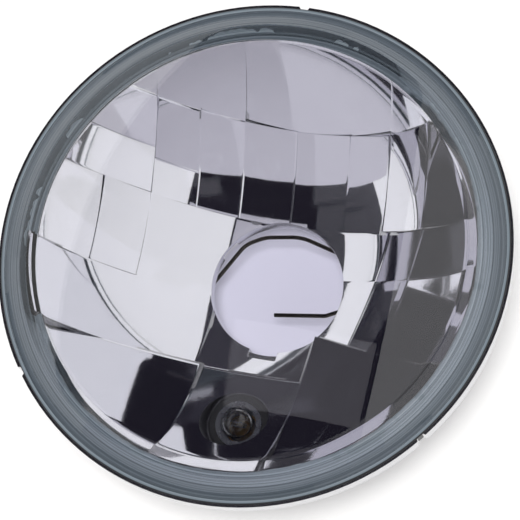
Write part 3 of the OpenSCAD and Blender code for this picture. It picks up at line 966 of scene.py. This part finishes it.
    def turned_by(self, normals: np.ndarray, facet: Facet) -> np.ndarray:
        """Scales the normals' spread and adds each turn's tangent square to the mean normal.

        Args:
            normals: The ball's own normals.
            facet: The facet, with its turn and its bend.

        Returns:
            The turned normals.
        """
        mean = normals.mean(0) / np.linalg.norm(normals.mean(0))
        right = np.array([1.0, 0.0, 0.0]) - mean[0] * mean
        right /= np.linalg.norm(right)
        up = np.cross(mean, right)
        up *= 1 if up[2] > 0 else -1
        a, b = np.tan(np.radians(facet.turn))
        out = mean + (normals - mean) * facet.bend + a * right + b * up
        return out / np.linalg.norm(out, axis=1)[:, None]

    def pressed(self, normals: np.ndarray, rows: int, columns: int) -> np.ndarray:
        """Tilts the outermost normals, as the small radius at a pressed facet's edge does.

        Args:
            normals: The normals, row after row.
            rows: Number of rows.
            columns: Number of normals in a row.

        Returns:
            The normals with the tilted edges.
        """
        tilt = math.sin(math.radians(self.edge_tilt))
        out = normals.reshape(rows, columns, 3).copy()
        out[:, 0, 0] += tilt
        out[:, -1, 0] -= tilt
        out[0, :, 2] += tilt
        out[-1, :, 2] -= tilt
        out = out.reshape(-1, 3)
        return out / np.linalg.norm(out, axis=1)[:, None]

    def patch(self, facet: Facet, grow: float, back: bool) -> Surface:
        """One facet as a grid of rows across its trimmed outline, laid on its ball.

        Args:
            facet: The facet.
            grow: How far its outline grows on every side.
            back: Whether this is the sheet's rear side.

        Returns:
            The patch with its normals, on the front turned and tilted at the pressed edges.
        """
        outline = np.array(facet.outline, float)
        outline = outline + np.sign(outline - outline.mean(0)) * grow
        x, z = self.rows(outline, self.mirror_r + (grow if back else -self.trim))
        rows, columns = x.shape
        x, z = x.flatten(), z.flatten()
        faces = self.holed(x, z, grid_faces(rows, columns, False, False), back)
        points, normals = self.on_ball(facet, x, z, back)
        if not back:
            normals = self.pressed(self.turned_by(normals, facet), rows, columns)
        a, b, c = (points[faces[:, i]] for i in range(3))
        facing = float(np.einsum("ij,ij->", np.cross(b - a, c - a), normals[faces[:, 0]]))
        surface = Surface(points, faces[:, ::-1] if facing < 0 else faces, normals)
        return surface.flipped() if back else surface

    def build(self, finishes: Finishes) -> None:
        """Makes the coating and the sheet's smooth rear side.

        Args:
            finishes: The materials.
        """
        front = joined([self.patch(f, 0.0, False) for f in self.facets()])
        make_piece("mirror_coating", front, finishes.get(Finish.MIRROR))
        rear = joined([self.patch(f, SHEET_T, True) for f in self.facets()])
        make_piece("sheet_rear", rear, finishes.get(Finish.SHEET))


# Glass and sealing


@dataclass
class PressedGlass:
    """The domed glass with its shoulder, sloping wall and flange, in mm.

    A name that ends in round is the radius of that corner. The dome's arc ends dome_end before
    the shoulder, and the inner one ends inner_end before the inner shoulder.
    """

    dome_r: float = 180.0
    glass_r: float = 71.4
    crease_r: float = 69.2
    crease_y: float = -5.1
    shoulder_r: float = 65.7
    shoulder_y: float = -7.8
    back_y: float = -1.6
    side_y: float = -4.5
    lip_r: float = 66.0
    inner_shoulder_r: float = 62.5
    thickness: float = 3.2
    dome_end: float = 1.6
    inner_end: float = 2.0
    shoulder_round: float = 1.1
    crease_round: float = 2.5
    side_round: float = 0.35
    back_round: float = 0.25
    lip_round: float = 0.3
    inner_round: float = 1.2
    dome_points: int = 60
    arc_step: float = 0.12
    line_step: float = 0.4
    segments: int = 360

    @property
    def inner_shoulder_y(self) -> float:
        """Depth of the inner shoulder, one thickness behind the outer one."""
        return self.shoulder_y + self.thickness

    def dome_y(self, r: np.ndarray | float, depth: float) -> np.ndarray | float:
        """Depth of the dome at radius r, on the surface that lies depth behind the front."""
        centre = self.shoulder_y + math.sqrt(self.dome_r**2 - self.shoulder_r**2)
        return centre - np.sqrt((self.dome_r - depth) ** 2 - np.square(r))

    def profile(self) -> np.ndarray:
        """The cross-section: dome arc, rounded shoulder, wall, crease, flange, and back inside.

        The dome is y = centre - sqrt(R^2 - r^2); the inner dome has R less the thickness.

        Returns:
            Rows of radius and y.
        """
        r = np.linspace(0, self.shoulder_r - self.dome_end, self.dome_points)
        dome = np.stack([r, self.dome_y(r, 0.0)], 1)
        inner_r = self.inner_shoulder_r - self.inner_end
        r = np.linspace(inner_r, 0, self.dome_points)
        inner = np.stack([r, self.dome_y(r, self.thickness)], 1)
        corners = [
            (*dome[-1], 0),
            (self.shoulder_r, self.shoulder_y, self.shoulder_round),
            (self.crease_r, self.crease_y, self.crease_round),
            (self.glass_r, self.side_y, self.side_round),
            (self.glass_r, self.back_y, self.back_round),
            (self.lip_r, self.back_y, self.lip_round),
            (self.inner_shoulder_r, self.inner_shoulder_y, self.inner_round),
            (*inner[0], 0),
        ]
        rim = rounded(corners, self.arc_step)
        return np.vstack([dome, refined(rim[1:], self.line_step), inner[1:]])

    def build(self, finishes: Finishes) -> None:
        """Makes the glass and puts it in place of the plain solid.

        Args:
            finishes: The materials.
        """
        surface = turned(self.profile(), self.segments, closed=False)
        piece = make_piece("lens_glass", surface, finishes.get(Finish.LENS))
        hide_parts("lens")


@dataclass
class SealingBead:
    """The compound between the glass and the gutter, squeezed out a little unevenly, in mm.

    lip and bank are the corners of the squeezed edge, from the gutter's wall and from the
    glass's side, as rows of radius and y, and lap is how far the compound laps the glass's side.
    film is how far up the glass's sloping wall the compound has crept, as a share of the wall,
    film_from is where its front and its rear start, film_gap is how far off the glass it lies,
    and film_t is how far its rear does. ragged is how far the lip wanders; the bank and the film
    wander by their share of that.
    """

    glass: PressedGlass
    inner_r: float = 65.5
    gutter_r: float = 72.2
    rim_y: float = -4.2
    bed_y: float = -0.8
    lip: tuple[tuple[float, float], ...] = ((0.12, -0.03), (0.02, -0.3), (-0.3, -0.5))
    bank: tuple[tuple[float, float], ...] = ((0.02, -0.5), (-0.3, -0.4))
    lap: float = 0.1
    film: float = 0.8
    film_from: tuple[float, float] = (0.08, 0.1)
    film_gap: float = 0.03
    film_t: float = 0.35
    ragged: float = 0.1
    bank_share: float = -0.6
    film_share: float = 3.0
    waves: tuple[int, ...] = (5, 9, 14, 23, 37, 58, 91, 130)
    wave_heights: tuple[float, float] = (0.4, 1.0)
    seed: int = 7
    segments: int = 720

    def under_wall(self, share: float, depth: float) -> tuple[float, float]:
        """A point behind the glass's sloping wall.

        Args:
            share: How far up the wall it lies, from 0 to 1.
            depth: How far behind the wall it lies.

        Returns:
            Its radius and y.
        """
        foot_r, foot_y = self.glass.lip_r, self.glass.back_y
        run = self.glass.inner_shoulder_r - foot_r
        rise = self.glass.inner_shoulder_y - foot_y
        length = math.hypot(run, rise)
        return (
            foot_r + run * share + depth * rise / length,
            foot_y + rise * share - depth * run / length,
        )

    def rows(self) -> list[tuple[float, float, float]]:
        """The cross-section, from the bed round the gutter's wall and the glass to the film.

        Returns:
            Rows of radius, y and the share of the wandering.
        """
        glass, wall, rim, lap = self.glass, self.gutter_r, self.rim_y, self.lap
        return [
            (self.inner_r, self.bed_y, 0),
            (wall, self.bed_y, 0),
            (wall, rim + lap, 0),
            *((wall + r, rim + y, 1.0) for r, y in self.lip),
            *((glass.glass_r + r, rim + y, self.bank_share) for r, y in self.bank),
            (glass.glass_r - 2 * lap, rim + 2 * lap, 0),
            (glass.glass_r - lap, glass.back_y - lap / 2, 0),
            (glass.glass_r - lap, glass.back_y, 0),
            (glass.lip_r, glass.back_y, 0),
            (*self.under_wall(self.film_from[0], self.film_gap), 0),
            (*self.under_wall(self.film, self.film_gap), self.film_share),
            (*self.under_wall(self.film, self.film_t), self.film_share),
            (*self.under_wall(self.film_from[1], self.film_t), 0),
        ]

    def wander(self, angle: np.ndarray) -> np.ndarray:
        """How far the edge wanders at an angle: a sum of waves of random height and phase.

        Args:
            angle: Angles round the axis.

        Returns:
            The distance at each angle, at most ragged.
        """
        rng = np.random.default_rng(self.seed)
        waves = np.array(self.waves)[:, None]
        height = rng.uniform(*self.wave_heights, waves.shape) / np.sqrt(waves)
        phase = rng.uniform(0, 2 * np.pi, waves.shape)
        total = (height * np.sin(waves * angle + phase)).sum(0)
        return total * (self.ragged / np.abs(total).max())

    def build(self, finishes: Finishes) -> None:
        """Makes the bead: its outer edge and the film's edge wander.

        Args:
            finishes: The materials.
        """
        rows = np.array(self.rows())
        surface = turned(rows[:, :2], self.segments, closed=True)
        angle = np.arange(self.segments) * (2 * np.pi / self.segments)
        push = rows[:, 2:] * self.wander(angle)
        points = surface.points.reshape(len(rows), self.segments, 3)
        points[:, :, 0] += push * np.cos(angle)
        points[:, :, 2] += push * np.sin(angle)
        surface.points = points.reshape(-1, 3)
        mastic = finishes.get(Finish.MASTIC)
        piece = make_piece("sealing_bead", surface, mastic)
        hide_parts("sealant")


# The lamp clip and the pilot lamp


@dataclass
class LampClip:
    """The bent spring wire that holds the lamp, in mm.

    crop is the bevel of its ends, and tip keeps an end's flat face apart from its middle point.
    """

    wire_r: float = 0.6
    wire_y: float = 41.1
    crop: float = 0.08
    tip: float = 1e-4
    arc_step: float = 0.35
    line_step: float = 0.8
    sides: int = 20
    corners: tuple[tuple[float, float, float], ...] = (
        (-24.8, -18.3, 0),
        (-24.8, -7, 2.5),
        (-14, 13.3, 8),
        (-8.6, 16.4, 12),
        (2.2, 18.1, 14),
        (28, 11.1, 2.4),
        (28, -1.6, 2.4),
        (17.5, -2.7, 3),
        (14.2, -4.4, 3),
        (-0.9, -6.5, 0),
    )

    def build(self, finishes: Finishes) -> None:
        """Makes the wire as a circle carried along its rounded corners, with cropped ends.

        Args:
            finishes: The materials.
        """
        line = refined(rounded(list(self.corners), self.arc_step), self.line_step)
        path = np.stack([line[:, 0], np.full(len(line), self.wire_y), line[:, 1]], 1)
        first, last = path[0], path[-1]
        start = (path[1] - first) / np.linalg.norm(path[1] - first)
        end = (last - path[-2]) / np.linalg.norm(last - path[-2])
        head = [first, first + start * self.tip, first + start * self.crop]
        tail = [last - end * self.crop, last - end * self.tip, last]
        path = np.vstack(head + [path[1:-1]] + tail)
        radii = np.full(len(path), self.wire_r)
        radii[[0, -1]] = 0.0
        radii[[1, -2]] = self.wire_r - self.crop
        surface = swept(path, radii, self.sides, np.array([0.0, 1.0, 0.0]))
        steel = finishes.get(Finish.WIRE)
        piece = make_piece("clip_wire", surface, steel, CLIP_BODY)
        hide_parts("lamp_clip")


@dataclass
class PilotLamp:
    """The small bayonet lamp, its rubber grommet and filament, in mm about its own axis.

    The pairs from bead to sleeve are corners of the grommet: how far each lies from the tube's
    or the socket's wall, and how far from the sheet. seam is where its profile starts and ends,
    on the socket. The root is the part of the glass in the cap, and the neck's gap is how far
    before the cap it starts to narrow and how far inside the cap it is narrow. coil_half is
    half the coil's length, coil_drop is how far the coil lies before the cap, and coil_up is a
    direction that the wire never takes.
    """

    neck_y: float = 27.0
    socket_r: float = 6.6
    bead: tuple[float, float] = (1.1, 1.8)
    bead_edge: tuple[float, float] = (0.4, 1.2)
    collar: tuple[float, float] = (1.4, 1.6)
    shoulder: tuple[float, float] = (0.4, 2.4)
    cone: tuple[float, float] = (1.6, 3.4)
    sleeve: tuple[float, float] = (1.2, 5.4)
    seam: float = 1.0
    groove_round: float = 0.05
    glass_r: float = 4.35
    glass_t: float = 0.6
    tip_y: float = 19.0
    cap_y: float = 29.5
    root_in: float = 0.4
    root_h: float = 3.4
    neck_gap: tuple[float, float] = (0.02, 0.2)
    floor_h: float = 0.8
    arc_step: float = 0.1
    rubber_step: float = 0.5
    rubber_segments: int = 128
    glass_step: float = 0.6
    glass_segments: int = 96
    tip_points: int = 25
    coil_turns: int = 7
    coil_r: float = 0.24
    coil_wire_r: float = 0.05
    coil_half: float = 1.4
    coil_drop: float = 8.4
    coil_points: int = 200
    coil_sides: int = 8
    coil_up: tuple[float, float, float] = (0.9, 0.3, 0.1)

    def placed(self, surface: Surface) -> Surface:
        """Moves a surface from the lamp's own axis to its place."""
        return Surface(surface.points + np.array([0, 0, -PILOT_DROP]), surface.faces)

    def grommet(self, finishes: Finishes) -> None:
        """Makes the rubber ring: a turned profile with every corner rounded.

        Args:
            finishes: The materials.
        """
        tube, socket, neck = PILOT_TUBE_R, self.socket_r, self.neck_y
        lip = neck - SHEET_T
        groove, corner = tube - SHEET_T, self.groove_round
        corners = [
            (socket, lip - self.seam, 0),
            (socket, lip - self.bead[1], 0.3),
            (tube - self.bead[0], lip - self.bead[1], 0.35),
            (tube - self.bead_edge[0], lip - self.bead_edge[1], 0.3),
            (tube - self.bead_edge[0], lip, corner),
            (groove, lip, corner),
            (groove, neck, corner),
            (tube + self.collar[0], neck, 0.3),
            (tube + self.collar[0], neck + self.collar[1], 0.6),
            (tube + self.shoulder[0], neck + self.shoulder[1], 0.6),
            (socket + self.cone[0], neck + self.cone[1], 0.5),
            (socket + self.sleeve[0], neck + self.sleeve[1], 0.4),
            (socket, neck + self.sleeve[1], 0.2),
            (socket, lip + self.seam, 0),
        ]
        profile = refined(rounded(corners, self.arc_step), self.rubber_step)
        surface = self.placed(turned(profile, self.rubber_segments))
        rubber = finishes.get(Finish.RUBBER)
        piece = make_piece("pilot_rubber", surface, rubber)
        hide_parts("pilot_grommet")

    def bulb(self, finishes: Finishes) -> None:
        """Makes the bulb's glass: a half ball on a tube, and the same again inside.

        Args:
            finishes: The materials.
        """
        r, cap, middle = self.glass_r, self.cap_y, self.tip_y + self.glass_r
        hollow_r, root_r = r - self.glass_t, r - self.root_in
        a = np.linspace(0, np.pi / 2, self.tip_points)
        arc = np.stack([np.sin(a), -np.cos(a)], 1)
        outer, inner = r * arc + [0, middle], hollow_r * arc[::-1] + [0, middle]
        root = [
            (r, middle, 0),
            (r, cap - self.neck_gap[0], 0.3),
            (root_r, cap + self.neck_gap[1], 0.1),
            (root_r, cap + self.root_h, 0.2),
            (0, cap + self.root_h, 0),
        ]
        floor_y = cap - self.floor_h
        floor = [(0, floor_y, 0), (hollow_r, floor_y, 0.6), (hollow_r, middle, 0)]
        skirt, floor = (
            refined(rounded(line, self.arc_step), self.glass_step) for line in (root, floor)
        )
        shell = turned(np.vstack([outer, skirt[1:]]), self.glass_segments, closed=False)
        hollow = turned(np.vstack([floor, inner[1:]]), self.glass_segments, closed=False).flipped()
        surface = self.placed(joined([shell, hollow]))
        piece = make_piece("pilot_bulb", surface, finishes.get(Finish.BULB))
        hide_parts("pilot_glass")

    def filament(self, finishes: Finishes) -> None:
        """Makes the coiled wire between the two supports.

        It is a helix: x runs from end to end, and y and z go round the coil's radius.

        Args:
            finishes: The materials.
        """
        t = np.linspace(0, 1, self.coil_points)
        angle = 2 * np.pi * self.coil_turns * t
        x = -self.coil_half + 2 * self.coil_half * t
        y = self.cap_y - self.coil_drop + self.coil_r * np.cos(angle)
        path = np.stack([x, y, self.coil_r * np.sin(angle) - PILOT_DROP], 1)
        radii = np.full(self.coil_points, self.coil_wire_r)
        radii[[0, -1]] = 0.0
        surface = swept(path, radii, self.coil_sides, np.array(self.coil_up))
        piece = make_piece("pilot_coil", surface, finishes.get(Finish.TUNGSTEN))
        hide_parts("pilot_filament")

    def build(self, finishes: Finishes) -> None:
        """Makes the three pieces that show.

        Args:
            finishes: The materials.
        """
        self.grommet(finishes)
        self.bulb(finishes)
        self.filament(finishes)


class CadDress:
    """Gives each solid that stays in view its finish."""

    PLAN: dict[str, Finish] = {
        "reflector": Finish.SHEET,
        "lamp_seat": Finish.ZINC,
        "clip_bracket": Finish.ZINC,
        "bracket_rivet": Finish.ZINC,
        "clip_catch": Finish.ZINC,
        "catch_rivet": Finish.ZINC,
        "pilot_socket": Finish.ZINC,
        "pilot_cap": Finish.BRASS,
        "pilot_stem": Finish.BULB,
        "pilot_cap_insulator": Finish.BLACK_GLASS,
        "pilot_cap_contact": Finish.SOLDER,
        "socket_insulator": Finish.BOARD,
        "socket_plunger": Finish.BRASS,
        "plunger_spring": Finish.WIRE,
        "live_terminal": Finish.BRASS,
        "earth_terminal": Finish.ZINC,
    }

    def build(self, finishes: Finishes) -> None:
        """Assigns the finishes to the solids' material slots.

        Args:
            finishes: The materials.
        """
        for node, finish in self.PLAN.items():
            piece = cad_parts[node]
            if not piece.material_slots:
                piece.data.materials.append(finishes.get(finish))
            for material_slot in piece.material_slots:
                material_slot.material = finishes.get(finish)
            LOG.info("%s: %s", node, finish.name)


# The studio


@dataclass(frozen=True)
class Card:
    """A card round the object, as a patch of a sphere.

    azimuth and elevation are the directions that it spans, in degrees, colour is its brightness
    as seen, and distance is the sphere's radius in metres.
    """

    name: str
    azimuth: tuple[float, float]
    elevation: tuple[float, float]
    colour: str
    distance: float


@dataclass(frozen=True)
class KeyLamp:
    """A square soft lamp: its direction in degrees, its side and distance in metres, its watts."""

    azimuth: float = 11.0
    elevation: float = -11.0
    size: float = 0.2
    distance: float = 1.4
    power: float = 13.0


@dataclass
class Studio:
    """The camera, the surface behind the insert, the lamp and the cards that the mirror shows.

    Angles are in degrees and lengths in metres, but for the names that end in px or mm. The
    paper has a painted shade: a pale grey round, darker than the rest, behind the lamp opening
    where the light through it falls, which stands in for the insert's shade on the paper seen
    through the glass. spot_mm is its radius, edge_mm is half its edge's width, and off_mm is how
    far it lies to -X and +Z.
    """

    azimuth: float = 15.16
    elevation: float = -14.89
    roll: float = 12.5
    distance: float = 0.710
    aim_y: float = -0.004
    focal_px: float = 2556.8
    shift_px: tuple[float, float] = (-8.87, -10.84)
    frame_px: float = 520.0
    sensor_mm: float = 36.0
    clip_start: float = 0.01
    card_points: int = 25
    paper_half: float = 1.6
    paper_y: float = 0.062
    spot_mm: float = 22.0
    edge_mm: float = 1.0
    off_mm: float = 5.5
    # Painted shade: the colour of the round behind the lamp opening, darker than the paper
    painted_shade_colour: str = "CDCBD9"
    paper_colour: str = "ECEBE9"
    paper_glow: float = 0.17
    sky_colour: str = "F6F6FA"
    sky_light: float = 0.62
    key: KeyLamp = KeyLamp()
    cards: tuple[Card, ...] = (
        Card("dark_card", (-51, 19), (-38, 78), "#211F27", 0.9),
        Card("lower_card", (-110, 110), (-88, -38), "#D0CED6", 0.95),
        Card("camera_card", (-12, 18), (-21, -3), "#C0BEC6", 0.86),
    )

    def direction(self, azimuth: float, elevation: float) -> Vector:
        """Unit direction; azimuth 0 is -Y, and 90 is +X."""
        a, e = math.radians(azimuth), math.radians(elevation)
        return Vector((math.sin(a) * math.cos(e), -math.cos(a) * math.cos(e), math.sin(e)))

    def camera(self) -> None:
        """Places the camera at the photograph's angle, with its roll and a small shift."""
        data = bpy.data.cameras.new("camera")
        data.sensor_width = self.sensor_mm
        data.lens = self.focal_px / self.frame_px * self.sensor_mm
        data.shift_x = -self.shift_px[0] / self.frame_px
        data.shift_y = self.shift_px[1] / self.frame_px
        data.clip_start = self.clip_start
        camera = bpy.data.objects.new("camera", data)
        bpy.context.scene.collection.objects.link(camera)
        away = self.direction(self.azimuth, self.elevation)
        a = math.radians(self.azimuth)
        right = Vector((math.cos(a), math.sin(a), 0))
        up = right.cross(-away)
        r = math.radians(self.roll)
        right, up = right * math.cos(r) + up * math.sin(r), up * math.cos(r) - right * math.sin(r)
        turn = Matrix((right, up, away)).transposed()
        place = away * self.distance + Vector((0, self.aim_y, 0))
        camera.matrix_world = Matrix.Translation(place) @ turn.to_4x4()
        bpy.context.scene.camera = camera

    def stand(
        self, name: str, mesh: bpy.types.Mesh, material: bpy.types.Material
    ) -> bpy.types.Object:
        """Puts a mesh into the scene as a part of the studio.

        Args:
            name: The object's name.
            mesh: Its mesh.
            material: Its finish.

        Returns:
            The new object.
        """
        mesh.materials.append(material)
        piece = bpy.data.objects.new(name, mesh)
        bpy.context.scene.collection.objects.link(piece)
        return piece

    def glow(self, name: str, colour: str) -> bpy.types.Material:
        """Makes a plain glowing material of one brightness.

        Args:
            name: The material's name.
            colour: Its hex colour as seen.

        Returns:
            The new material.
        """
        material, tree, out = new_material(name)
        shader = add_node(tree, "ShaderNodeEmission", {"Color": srgb(colour), "Strength": 1.0})
        tree.links.new(shader.outputs[0], out.inputs["Surface"])
        return material

    def card(self, card: Card) -> None:
        """Makes a card as a patch of a sphere round the object, unseen by the camera itself.

        A point lies at distance * (sin a cos e, -cos a cos e, sin e).

        Args:
            card: The card.
        """
        count = self.card_points
        a, e = np.meshgrid(
            np.radians(np.linspace(*card.azimuth, count)),
            np.radians(np.linspace(*card.elevation, count)),
            indexing="ij",
        )
        sphere = np.stack([np.sin(a) * np.cos(e), -np.cos(a) * np.cos(e), np.sin(e)], -1)
        points = (card.distance * sphere).reshape(-1, 3)
        mesh = bpy.data.meshes.new(card.name)
        mesh.from_pydata(points.tolist(), [], grid_faces(count, count, False, False).tolist())
        piece = self.stand(card.name, mesh, self.glow(card.name, card.colour))
        piece.visible_camera = False
        piece.visible_shadow = False
        piece.visible_diffuse = False

    def paper(self) -> bpy.types.Material:
        """White paper: it glows faintly for the rays that show it, and is clear from behind.

        Returns:
            The new material.
        """
        material, tree, out = new_material("white_paper")
        # Painted shade: a darker grey round behind the lamp opening, mixed into the paper's colour
        centre = (self.off_mm * MM, -self.paper_y, -self.off_mm * MM)
        edge = ((self.spot_mm - self.edge_mm) * MM, (self.spot_mm + self.edge_mm) * MM)
        share = ranged(tree, distance(tree, "ADD", centre), edge)
        tint = mixed(tree, self.painted_shade_colour, self.paper_colour, share)
        paper = add_node(tree, "ShaderNodeBsdfDiffuse", None, {"Color": tint})
        glow = add_node(tree, "ShaderNodeEmission", {"Strength": self.paper_glow}, {"Color": tint})
        none = add_node(tree, "ShaderNodeEmission", {"Strength": 0.0})
        boost = blended(tree, shown_rays(tree), none, glow)
        links = {0: paper.outputs[0], 1: boost.outputs[0]}
        total = add_node(tree, "ShaderNodeAddShader", None, links)
        side = add_node(tree, "ShaderNodeNewGeometry")
        clear = add_node(tree, "ShaderNodeBsdfTransparent")
        both = blended(tree, side.outputs["Backfacing"], total, clear)
        tree.links.new(both.outputs[0], out.inputs["Surface"])
        return material

    def backdrop(self) -> None:
        """Makes the white paper behind the insert, which keeps its soft shadow."""
        half, y = self.paper_half, self.paper_y
        mesh = bpy.data.meshes.new("backdrop")
        corners = [(-half, y, -half), (half, y, -half), (half, y, half), (-half, y, half)]
        mesh.from_pydata(corners, [], [(0, 1, 2, 3)])
        self.stand("backdrop", mesh, self.paper())

    def world(self) -> None:
        """White surroundings: full for what the camera, gloss and glass show, lower as light."""
        world = bpy.data.worlds.new("studio")
        bpy.context.scene.world = world
        world.use_nodes = True
        tree = world.node_tree
        tree.nodes.clear()
        out = add_node(tree, "ShaderNodeOutputWorld")
        white = add_node(tree, "ShaderNodeBackground", {"Color": (1, 1, 1, 1), "Strength": 1.0})
        looks = {"Color": srgb(self.sky_colour), "Strength": self.sky_light}
        light = add_node(tree, "ShaderNodeBackground", looks)
        mix = blended(tree, shown_rays(tree), light, white)
        tree.links.new(mix.outputs[0], out.inputs["Surface"])

    def lamp(self) -> None:
        """Adds the key lamp, which points at the insert and doesn't show in the mirror."""
        data = bpy.data.lights.new("key_lamp", "AREA")
        data.shape = "SQUARE"
        data.size = self.key.size
        data.energy = self.key.power
        lamp = bpy.data.objects.new("key_lamp", data)
        bpy.context.scene.collection.objects.link(lamp)
        away = self.direction(self.key.azimuth, self.key.elevation)
        lamp.location = away * self.key.distance
        lamp.rotation_euler = away.to_track_quat("Z", "Y").to_euler()
        lamp.visible_glossy = False
        lamp.visible_transmission = False

    def build(self) -> None:
        """Sets the view and makes everything that stands round the insert."""
        bpy.context.scene.view_settings.view_transform = "Standard"
        self.camera()
        self.world()
        self.backdrop()
        for card in self.cards:
            self.card(card)
        self.lamp()


def main() -> None:
    """Builds the finishes, the insert's pieces and the studio, and reports each piece."""
    logging.basicConfig(level=logging.INFO, format="%(message)s")
    finishes = Finishes()
    CadDress().build(finishes)
    glass = PressedGlass()
    for part in (FacetedMirror(), glass, SealingBead(glass), LampClip(), PilotLamp()):
        part.build(finishes)
        LOG.info("%s is done", type(part).__name__)
    Studio().build()


if __name__ == "__main__":
    main()
